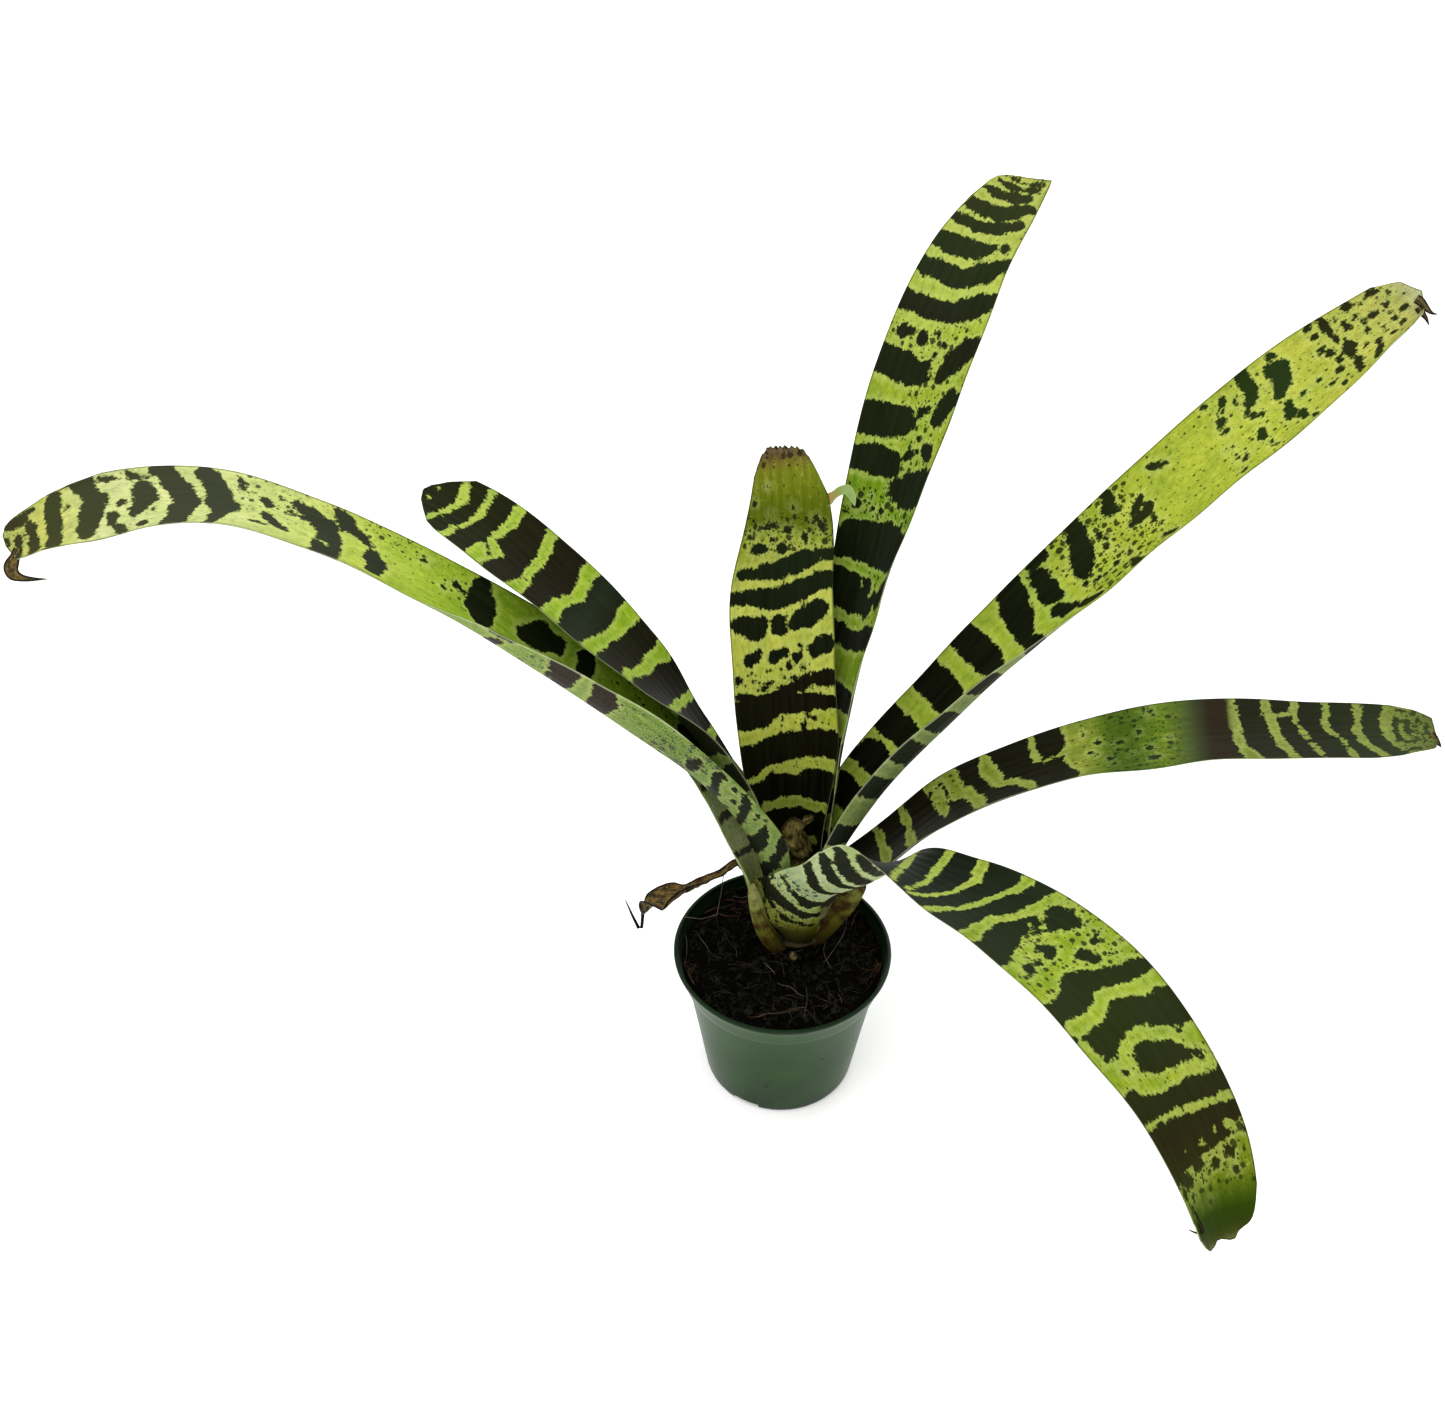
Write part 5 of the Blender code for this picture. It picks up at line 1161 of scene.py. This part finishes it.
# %% Bark chips
random.seed(7)
CHIPS = 520
chip_bm = bmesh.new()
for number in range(CHIPS):
    x, y = spot_on_soil(14.0)
    made = bmesh.ops.create_icosphere(chip_bm, subdivisions=1, radius=1.0)["verts"]
    long, wide, thick = random.uniform(0.8, 3.2), random.uniform(0.6, 1.7), random.uniform(0.25, 0.7)
    turn = random.uniform(0, math.tau)
    tilt = random.uniform(-0.5, 0.5)
    for vert in made:
        bumpy = 1.0 + 0.35 * noise.noise(vert.co * 1.9 + Vector((number, 0, 0)))
        a, b, c = vert.co.x * long * bumpy, vert.co.y * wide * bumpy, vert.co.z * thick
        c += a * math.sin(tilt) * 0.5
        vert.co = Vector((
            x + a * math.cos(turn) - b * math.sin(turn), y + a * math.sin(turn) + b * math.cos(turn),
            soil_height(x, y) + 0.25 + c)) * MM
# Composted bark is as dark as the peat, with dull grey-brown faces of 6 mm and a grain of 0.7 mm.
bark_skin = mottled(
    "composted pine bark", "#020201",
    [((160.0,) * 3, 3.0, 0.5111, 0.7333, "#1C1B12"), ((1500.0,) * 3, 3.0, 0.48, 0.88, "#26241A")],
    {"Specular IOR Level": 0.04, "Roughness": 0.85})
finished("bark_chips", chip_bm, bark_skin, (), 40.0)

# %% Straw and fine roots
STRAW_SHARE = 0.62
STRAW_POINTS = 11
ROOTS = 110
ROOT_POINTS = 8
straw_bm = bmesh.new()
# Each has points in millimetres, with the height over the soil, and a radius. The long straw across
# the front comes first, then the shorter ones round the pot.
placed_straws = [
    ([(-16.3, -38.6, 0.9), (-6.8, -36.8, 1.2), (2.8, -35.0, 1.1), (10.5, -33.1, 0.6)], 0.26),
    ([(-3.0, -16.3, 0.5), (3.2, -20.7, 1.4), (10.7, -26.3, 1.2)], 0.24),
    ([(-9.0, -4.1, 0.5), (-6.2, -8.0, 1.0), (-3.8, -11.9, 0.8)], 0.36),
    ([
        (-48.2, 14.4, 1.2), (-47.2, 8.7, 2.0), (-47.0, 3.1, 2.2), (-47.3, -1.8, 1.6),
        (-48.0, -7.0, 1.0)], 0.24),
    ([(33.6, 31.7, 1.0), (33.1, 22.8, 1.6), (30.6, 12.7, 2.0), (25.1, 2.8, 1.2), (19.3, -5.0, 0.5)], 0.24),
    ([(27.8, 37.3, 1.0), (30.5, 29.7, 1.6), (31.0, 20.1, 1.0)], 0.24),
    ([(22.0, 9.0, 2.0), (20.6, 1.1, 2.2), (24.1, -8.0, 0.8)], 0.28),
    ([(-42.1, 14.3, 1.0), (-37.6, 6.3, 1.4), (-34.6, 1.1, 1.0), (-29.6, -2.2, 0.6)], 0.26),
    ([(-24.6, 39.7, 0.8), (-20.0, 39.7, 1.4), (-16.4, 41.1, 1.0)], 0.36),
    ([(11.0, -20.1, 1.6), (11.1, -29.4, 1.6), (9.3, -38.6, 0.6)], 0.2),
    ([(26.3, -23.2, 0.8), (27.2, -27.0, 1.4), (27.8, -30.7, 0.8)], 0.22),
    ([(-46.5, -7.0, 0.8), (-45.6, -12.0, 1.8), (-44.1, -17.8, 0.8)], 0.3),
    ([(-44.5, -8.0, 0.8), (-46.2, -13.0, 2.2), (-42.8, -19.8, 0.8)], 0.3),
]
for path, radius in placed_straws:
    bend = curve_through(np.linspace(0, STRAW_POINTS - 1, len(path)), path, np.arange(float(STRAW_POINTS)))
    tube(straw_bm, [(x, y, soil_height(x, y) + over) for x, y, over in bend],
         tapered(radius * STRAW_SHARE, STRAW_POINTS, 0.4), 6)
for _ in range(ROOTS):
    x, y = spot_on_soil(15.0)
    turn = random.uniform(0, math.tau)
    curl = random.uniform(-0.3, 0.3)
    step = random.uniform(3.0, 14.0) / (ROOT_POINTS - 1)
    radius = random.uniform(0.035, 0.08)
    path = []
    for k in range(ROOT_POINTS):
        arch = math.sin(math.pi * k / (ROOT_POINTS - 1))
        path.append((x, y, soil_height(x, y) + 0.35 + 1.3 * arch * random.uniform(0.2, 0.9)))
        x += math.cos(turn) * step
        y += math.sin(turn) * step
        turn += curl * 0.6
    if math.hypot(x, y) < 48.0:
        tube(straw_bm, path, tapered(radius, ROOT_POINTS, 0.3), 4)
# Dry straw and roots are dull, and change from dark brown to a greyish tan about every 11 mm.
straw_skin = mottled("dry straw and fine roots", "#0E0B07", [((90.0,) * 3, 2.0, 0.3333, 0.6667, "#4C4535")],
                     {"Roughness": 0.75})
finished("straw_and_roots", straw_bm, straw_skin, (), 60.0)

# %% Brown fibres and bark slivers
# Coir-like fibres cling to the lip at both sides, and a few long red-brown slivers lie on the mix.
FIBRE_POINTS = 7
WITHIN_LIP = 48.6
SLIVER_RADIUS = 0.42
fibre_bm = bmesh.new()
for x, y, spread, count in (
    (-46.0, -11.0, 5.0, 16), (45.5, -12.5, 5.0, 18), (-25.0, 36.0, 9.0, 12), (-14.0, 40.0, 7.0, 8),
    (-4.0, -37.0, 8.0, 5), (44.0, 8.0, 6.0, 7), (34.0, 30.0, 6.0, 7),
):
    for _ in range(count):
        px, py = x + random.uniform(-spread, spread) * 0.5, y + random.uniform(-spread, spread)
        turn = random.uniform(0, math.tau)
        step, radius = random.uniform(3.0, 9.0) / (FIBRE_POINTS - 1), random.uniform(0.07, 0.2)
        path = []
        for k in range(FIBRE_POINTS):
            away = math.hypot(px, py)
            pull = min(1.0, WITHIN_LIP / max(away, 1.0))
            arch = random.uniform(0.2, 1.6) * math.sin(math.pi * k / (FIBRE_POINTS - 1))
            over = 0.4 + arch + max(0.0, away - 44.0) * 0.5
            path.append((px * pull, py * pull, soil_height(px, py) + over))
            px += math.cos(turn) * step
            py += math.sin(turn) * step
            turn += random.uniform(-0.5, 0.5)
        tube(fibre_bm, path, tapered(radius, FIBRE_POINTS, 0.4), 5)
for x, y, turn, reach in (
    (-3.0, -36.5, 0.14, 15.0), (-33.0, 31.0, 0.3, 9.0), (-22.0, 37.0, 0.1, 8.0), (-27.0, 27.0, -0.2, 6.0),
    (38.0, 27.0, 1.2, 8.0), (-12.0, 33.0, 0.5, 6.0), (24.0, -30.0, 0.5, 6.0),
):
    path = []
    for along in np.linspace(-reach, reach, FIBRE_POINTS):
        px, py = x + along * math.cos(turn), y + along * math.sin(turn)
        path.append((px, py, soil_height(px, py) + 0.9))
    tube(fibre_bm, path, tapered(SLIVER_RADIUS, FIBRE_POINTS, 0.4), 5)
# Coir and inner bark are dull and red-brown, with darker stretches of 4.5 mm.
fibre_skin = mottled(
    "coir fibre and red-brown bark", "#150B06", [((220.0,) * 3, 2.0, 0.3824, 0.6765, "#3E2916")],
    {"Roughness": 0.8, "Specular IOR Level": 0.1})
finished("coir_and_bark_slivers", fibre_bm, fibre_skin, (), 60.0)

# %% [markdown]
# ## Rootstock
# The stump that carries the leaves is short and brown-olive, with the ragged remains of old leaf
# bases round it. It is spun, then pushed about by noise.

# %% Rootstock
stock_profile = [
    (0.0, 44.0), (10.6, 44.0), (12.2, 50.0), (12.3, 60.0), (12.3, 70.0), (12.6, 73.0), (13.4, 75.0),
    (14.1, 76.0), (14.2, 77.0), (12.6, 79.0), (9.6, 82.5), (4.6, 88.0), (0.0, 88.3)]
STOCK_ROUGHNESS = 0.021
stock_bm = spun(stock_profile, 72)
for vert in stock_bm.verts:
    around = math.atan2(vert.co.y, vert.co.x)
    push = noise.noise(Vector((math.cos(around) * 3, math.sin(around) * 3, vert.co.z / MM / 3.0)))
    vert.co.x = vert.co.x * (1 + push * STOCK_ROUGHNESS) + PLANT_X * MM
    vert.co.y = vert.co.y * (1 + push * STOCK_ROUGHNESS) + PLANT_Y * MM
# Fibres of 1 by 8 mm run up the weathered stump, from near black to olive brown.
stock_skin = mottled(
    "rootstock with old leaf bases", "#1A1405", [((900.0, 900.0, 120.0), 3.0, 0.3333, 0.75, "#4E4516")],
    {"Roughness": 0.8}, (0.8, 0.0004))
finished("rootstock_stump", stock_bm, stock_skin, ("rootstock",), 60.0)

# %% [markdown]
# ## Dead, dry and young leaves
# The dead leaf has dried to a brown, crinkled strip on a thin stalk, with a hair at its tip. The
# remnant in the cup is the crumpled end of a dried leaf, and beside it a short young one is green.


# %% Dry leaf material
def dried(name, dark, warm, pale, rim):
    """A dull, papery finish: blotches from dark to warm, pale fibres over them, and a rim.

    The blotches are 4.5 by 1.7 mm, the fibres 1.7 by 0.3 mm.
    """
    made, tree, shader = new_material(name)
    dry_uv = add(tree, "UVMap", uv_map="leaf")
    spread = add(tree, "Mapping", {"Vector": dry_uv, "Scale": (22.0, 60.0, 1.0)})
    blotch = add(tree, "TexNoise", {"Vector": spread, "Scale": 1.0, "Detail": 4.0}, "Fac")
    spread = add(tree, "Mapping", {"Vector": dry_uv, "Scale": (60.0, 320.0, 1.0)})
    fibre = add(tree, "TexNoise", {"Vector": spread, "Scale": 1.0, "Detail": 3.0}, "Fac")
    dry_edge = add(tree, "Attribute", (), "Fac", attribute_name="edge")
    fill(tree, shader, {
        "Base Color": laid_over(
            tree, colour(dark), (blotch, 0.4022, 0.6196, 1.0, warm), (fibre, 0.5167, 0.85, 1.0, pale),
            (dry_edge, 1.1667, 0.3333, 1.0, rim)),
        "Specular IOR Level": 0.15, "Roughness": 0.7,
        "Normal": add(tree, "Bump", {"Strength": 0.7, "Distance": 0.0004, "Height": fibre})})
    return made


dry_skin = dried("dried leaf tip, olive brown", "#1C1407", "#62501F", "#938654", "#140F06")
dead_skin = dried("dead leaf, gold-brown and blotched", "#1A1004", "#6A5018", "#A89C64", "#080602")
# The remnant lies in the shade of the cup, so its tones are painted lighter than the dried tips': painted
# light.
lightened_remnant_skin = dried("dry remnant in the cup, crumpled", "#30260E", "#84763A", "#A89C66", "#30260E")
print("three dry finishes")


# %% Small leaves
def small_leaf(name, along, across, crumple, margins):
    """A small leaf on its ribbon, crumpled by noise.

    Margins are rows of length along and how much wider than the ribbon the leaf is there at its
    right and at its left.
    """
    ribbon = ribbons[name]
    at, share = np.meshgrid(np.linspace(0.0, ribbon.length, along + 1), np.linspace(-1, 1, across + 1),
                            indexing="ij")
    margin_at, right, left = np.array(margins, float).T
    wider = np.where(share < 0, np.interp(at, margin_at, right), np.interp(at, margin_at, left))
    points, faces = ribbon.surface(at, share * wider)
    for spot in np.ndindex(at.shape):
        fold = noise.noise(Vector((at[spot] / 5.0, share[spot] * 1.4, 2.0 + crumple)))
        fold += 0.5 * noise.noise(Vector((at[spot] / 2.0, share[spot] * 3.0, 5.0)))
        points[spot] += faces[spot] * fold * crumple
    half = ribbon.half_width(at)
    mesh = with_thickness(laid_grid(points, at, share * half), 0.6)
    keep(mesh, "edge", np.tile(np.minimum((1.0 - np.abs(share)) * half, ribbon.length - at).ravel(), 2))
    return mesh


DEAD_MARGINS = (
    (0, 1.0, 1.0), (40, 0.9, 0.9), (56, 0.8, 1.0), (64, 0.9, 1.9), (70, 1.0, 2.6), (76, 0.9, 2.2),
    (80, 1.0, 2.7), (86, 1.0, 2.2), (91, 1.2, 2.5), (96, 1.5, 2.0), (101, 1.4, 1.4), (120, 1.0, 1.0))
DRY_MARGINS = ((0, 1.0, 1.0), (12, 1.25, 1.25), (60, 1.35, 1.35))
dressed("dead_leaf_strip", small_leaf("dead_leaf", 90, 14, 0.9, DEAD_MARGINS), dead_skin,
        ("dead_leaf",))
dressed("dry_centre_remnant", small_leaf("dry_centre_leaf", 60, 16, 2.2, DRY_MARGINS), lightened_remnant_skin,
        ("dry_centre_leaf",))
YOUNG_GREEN, YOUNG_BAND = "0 7E9A2C, 40 8FB53A", "0 2A3018"
young_marks = dict(freckles="0 40 -3 3 0.2", ground=YOUNG_GREEN, band=YOUNG_BAND,
                   under=YOUNG_GREEN, under_band=YOUNG_BAND)
dressed("young_leaf_tip", leaf_mesh("young_leaf", young_marks, 9, 10), leaf_skin,
        ("young_leaf",))

# %% [markdown]
# ## Tips and slivers
# Where leaves end, dried bits are left: leaf 1 ends in a brown hook, leaves 5 and 6 in short spikes,
# leaf 7 in a thin curl, and a torn sliver hangs off leaf 3. Each is a narrow strip along a path, with
# its faces turned towards the camera, and is bent across like a gutter.

# %% Strips along paths
TOWARDS_CAMERA = unit(np.array(CAMERA_PLACE) / MM - np.array([0.0, 0.0, 200.0]))
STEPS_PER_POINT = 8
THINNEST_STRIP = 0.15


def strip_mesh(path, thickness, across=6, hollow=0.12):
    """A narrow strip along points with widths, in millimetres. Hollow is its depth per width."""
    fine = STEPS_PER_POINT * (len(path) - 1)
    rows = curve_through(np.arange(float(len(path))), path, np.linspace(0, len(path) - 1, fine + 1))
    tangents = unit(np.gradient(rows[:, :3], axis=0))
    sides = unit(np.cross(tangents, TOWARDS_CAMERA))
    ups = np.cross(sides, tangents)
    share = np.linspace(-1, 1, across + 1)[None, :]
    width = np.maximum(rows[:, 3:], THINNEST_STRIP)
    q = share * width / 2
    points = (rows[:, None, :3] + sides[:, None] * q[..., None]
              + ups[:, None] * ((share ** 2 - 0.5) * hollow * width)[..., None])
    at = np.repeat(gone_along(rows[:, :3])[:, None], across + 1, axis=1)
    mesh = with_thickness(laid_grid(points, at, q), thickness)
    keep(mesh, "edge", np.tile(((1 - np.abs(share)) * width / 2).ravel(), 2))
    return mesh


TIP_PATHS = {
    "leaf_1_dry_hook": ("leaf_1_left", [
        (-321.4, 19.5, 305.3, 3.6), (-321.8, 16.3, 303.8, 4.2), (-322.6, 12.0, 301.7, 6.4),
        (-321.2, 8.8, 300.1, 5.6), (-318.0, 7.2, 299.2, 3.2), (-313.5, 6.6, 298.9, 1.8),
        (-307.0, 6.5, 299.0, 0.2)]),
    "leaf_5_spike": ("leaf_5_right", [
        (255.3, 80.4, 387.2, 3.9), (257.3, 79.4, 386.2, 3.7), (259.8, 77.5, 384.0, 2.5),
        (262.0, 76.4, 382.7, 1.1), (264.1, 76.1, 382.4, 0.2)]),
    "leaf_5_point": ("leaf_5_right", [
        (256.0, 78.0, 384.6, 3.2), (257.3, 76.7, 383.1, 2.9), (259.3, 75.1, 381.2, 1.6),
        (260.6, 73.3, 379.0, 0.3)]),
    "leaf_6_spike": ("leaf_6_right_low", [
        (270.0, -19.8, 236.5, 4.2), (271.5, -20.7, 235.5, 3.8), (273.2, -21.8, 234.2, 2.1),
        (274.6, -22.9, 232.9, 0.3)]),
    "leaf_7_curl": ("leaf_7_front_right", [
        (137.6, -213.5, 183.0, 1.1), (139.7, -216.5, 179.5, 1.4), (141.5, -218.8, 176.8, 1.2),
        (141.3, -219.7, 175.7, 0.9), (139.3, -219.7, 175.7, 0.6), (136.8, -219.0, 176.5, 0.2)]),
}
for name, (slot, path) in TIP_PATHS.items():
    dressed(name, strip_mesh(path, 0.4), dry_skin)

# %% Torn sliver of leaf 3
# Thin leaf tissue, tan where it dried first and green towards its far end, with a pale rim.
sliver_skin, tree, shader = new_material("torn leaf strip, thin and pale")
sliver_at = add(tree, "SeparateXYZ", [add(tree, "UVMap", uv_map="leaf")], "X")
sliver_edge = add(tree, "Attribute", (), "Fac", attribute_name="edge")
fill(tree, shader, {
    "Base Color": laid_over(tree, colour("#A2703A"), (sliver_at, 0.0, 0.10, 1.0, "#7E9450"),
                            (sliver_edge, 0.6429, -0.0714, 1.0, "#94A66A")),
    "Roughness": 0.55, "Specular IOR Level": 0.2})
SLIVER_PATH = [
    (16.6, 81.4, 288.4, 7.0), (17.9, 80.9, 289.4, 5.8), (20.4, 80.4, 291.9, 3.6), (23.3, 79.1, 295.1, 4.0),
    (26.3, 77.7, 296.1, 4.4), (28.4, 75.6, 293.4, 3.0), (29.4, 73.8, 290.4, 0.4)]
dressed("leaf_3_torn_sliver", strip_mesh(SLIVER_PATH, 0.4), sliver_skin)

# %% [markdown]
# ## Old sheaths round the foot
# The foot is clasped by leaf bases: right of leaf 7's sheath the yellow-green base of leaf 6 flares
# out, at the left an old base is stained brown and has dried to paper at its top, and the stub of a
# lost leaf stands in front. The bases are strips too, bulging outwards, and the stub is an icosphere.

# %% Sheath finish
# A waxy skin, yellow-olive above and near black lower down, towards the soil, with stains of 7 mm and ribs
# 0.6 mm wide.
sheath_skin, tree, shader = new_material("old sheath, yellow-olive and stained")
place = add(tree, "TexCoord", (), "Object")
from_left, up = (add(tree, "SeparateXYZ", [place], axis) for axis in "XZ")
stain = add(tree, "TexNoise", {"Vector": place, "Scale": 150.0, "Detail": 4.0}, "Fac")
ribbed = add(tree, "Mapping", {"Vector": add(tree, "UVMap", uv_map="leaf"), "Scale": (5.0, 160.0, 1.0)})
rib = add(tree, "TexNoise", {"Vector": ribbed, "Scale": 1.0, "Detail": 3.0}, "Fac")
# Only the base at the left is papery, and only where the stain is weak.
papery = add(tree, "MapRange", [up, 0.103, 0.116, 0.0, 1.0])
unstained = add(tree, "Math", [stain, -3.0, 2.0], operation="MULTIPLY_ADD", use_clamp=True)
at_left = add(tree, "Math", [from_left, 0.0], operation="LESS_THAN")
for limit in (unstained, at_left):
    papery = add(tree, "Math", [papery, limit], operation="MULTIPLY")
fill(tree, shader, {
    "Base Color": laid_over(
        tree, colour("#0E0B04"), (up, 0.074, 0.088, 1.0, "#4E4A10"), (up, 0.086, 0.110, 1.0, "#747A34"),
        (stain, 0.4333, 0.6, 1.0, "#38220A"), (rib, 0.5, 0.75, 1.0, "#3A3A10"),
        (papery, 0.0, 1.0, 1.0, "#80824E")),
    "Roughness": 0.6, "Specular IOR Level": 0.08})
print(len(tree.nodes), "nodes in the sheaths' material")

# %% Sheaths and stub
BULGE = -0.22
SHEATHS = {
    "leaf_6_sheath": ("leaf_6_right_low", [
        (12.3, 9.0, 70.8, 9.0), (17.0, 11.0, 79.2, 12.0), (22.7, 13.0, 89.3, 15.0), (28.6, 14.0, 100.4, 16.0),
        (35.5, 15.0, 110.6, 11.0), (38.5, 15.5, 115.0, 4.0)]),
    "old_base_left": ("rootstock", [
        (-15.6, 0.2, 126.0, 2.0), (-14.8, 0.6, 120.5, 4.6), (-13.8, 1.0, 113.5, 6.0),
        (-12.4, 1.4, 105.0, 6.8), (-10.4, 1.0, 97.0, 7.6), (-8.0, 1.0, 89.5, 7.6),
        (-4.6, 2.4, 81.5, 7.4), (0.4, 4.4, 73.5, 6.0)]),
}
for name, (slot, path) in SHEATHS.items():
    dressed(name, strip_mesh(path, 0.6, 12, BULGE), sheath_skin)
STUB_PLACE = (5.3, -1.4, 76.4)
STUB_HALF_SIZE = (1.9, 1.6, 3.4)
stub_bm = bmesh.new()
bmesh.ops.create_icosphere(stub_bm, subdivisions=3, radius=1.0)
for vert in stub_bm.verts:
    rough = 1.0 + 0.3 * noise.noise(vert.co * 2.3)
    vert.co = [(middle + c * half * rough) * MM
               for middle, c, half in zip(STUB_PLACE, vert.co, STUB_HALF_SIZE)]
# The stub is corky and dull, tan with brown patches of 2.6 mm.
stub_skin = mottled("stub of a lost leaf, tan and brown", "#1C1206",
                    [((380.0,) * 3, 3.0, 0.4, 0.65, "#7A6228")], {"Roughness": 0.7})
finished("old_leaf_stub", stub_bm, stub_skin, (), 60.0)

# %% Hair and thread of the dead leaf
HAIR = [(-68.6, 19.0, 86.0), (-69.1, 19.0, 84.7), (-69.9, 19.0, 75.4), (-71.6, 19.0, 75.2),
        (-74.2, 19.0, 83.6), (-77.3, 19.0, 94.8)]
THREAD = [(-28.7, 20.1, 113.7), (-30.1, 13.5, 105.9), (-32.1, 6.6, 97.7), (-39.9, 5.3, 96.2),
          (-47.7, 5.9, 97.0)]
# A dead tip that has rolled up to a hair is black brown and dull.
hair_skin, tree, shader = new_material("dried leaf tip, black brown")
fill(tree, shader, {"Base Color": colour("#0A0704"), "Roughness": 0.8, "Specular IOR Level": 0.05})
for name, path, radii, skin in (
    ("dead_leaf_hair", HAIR, [0.9, 0.9, 0.8, 0.9, 0.7, 0.25], hair_skin),
    ("pale_thread", THREAD, [0.22] * 5, straw_skin),
):
    strand_bm = bmesh.new()
    tube(strand_bm, path, radii)
    finished(name, strand_bm, skin, (), 60.0)
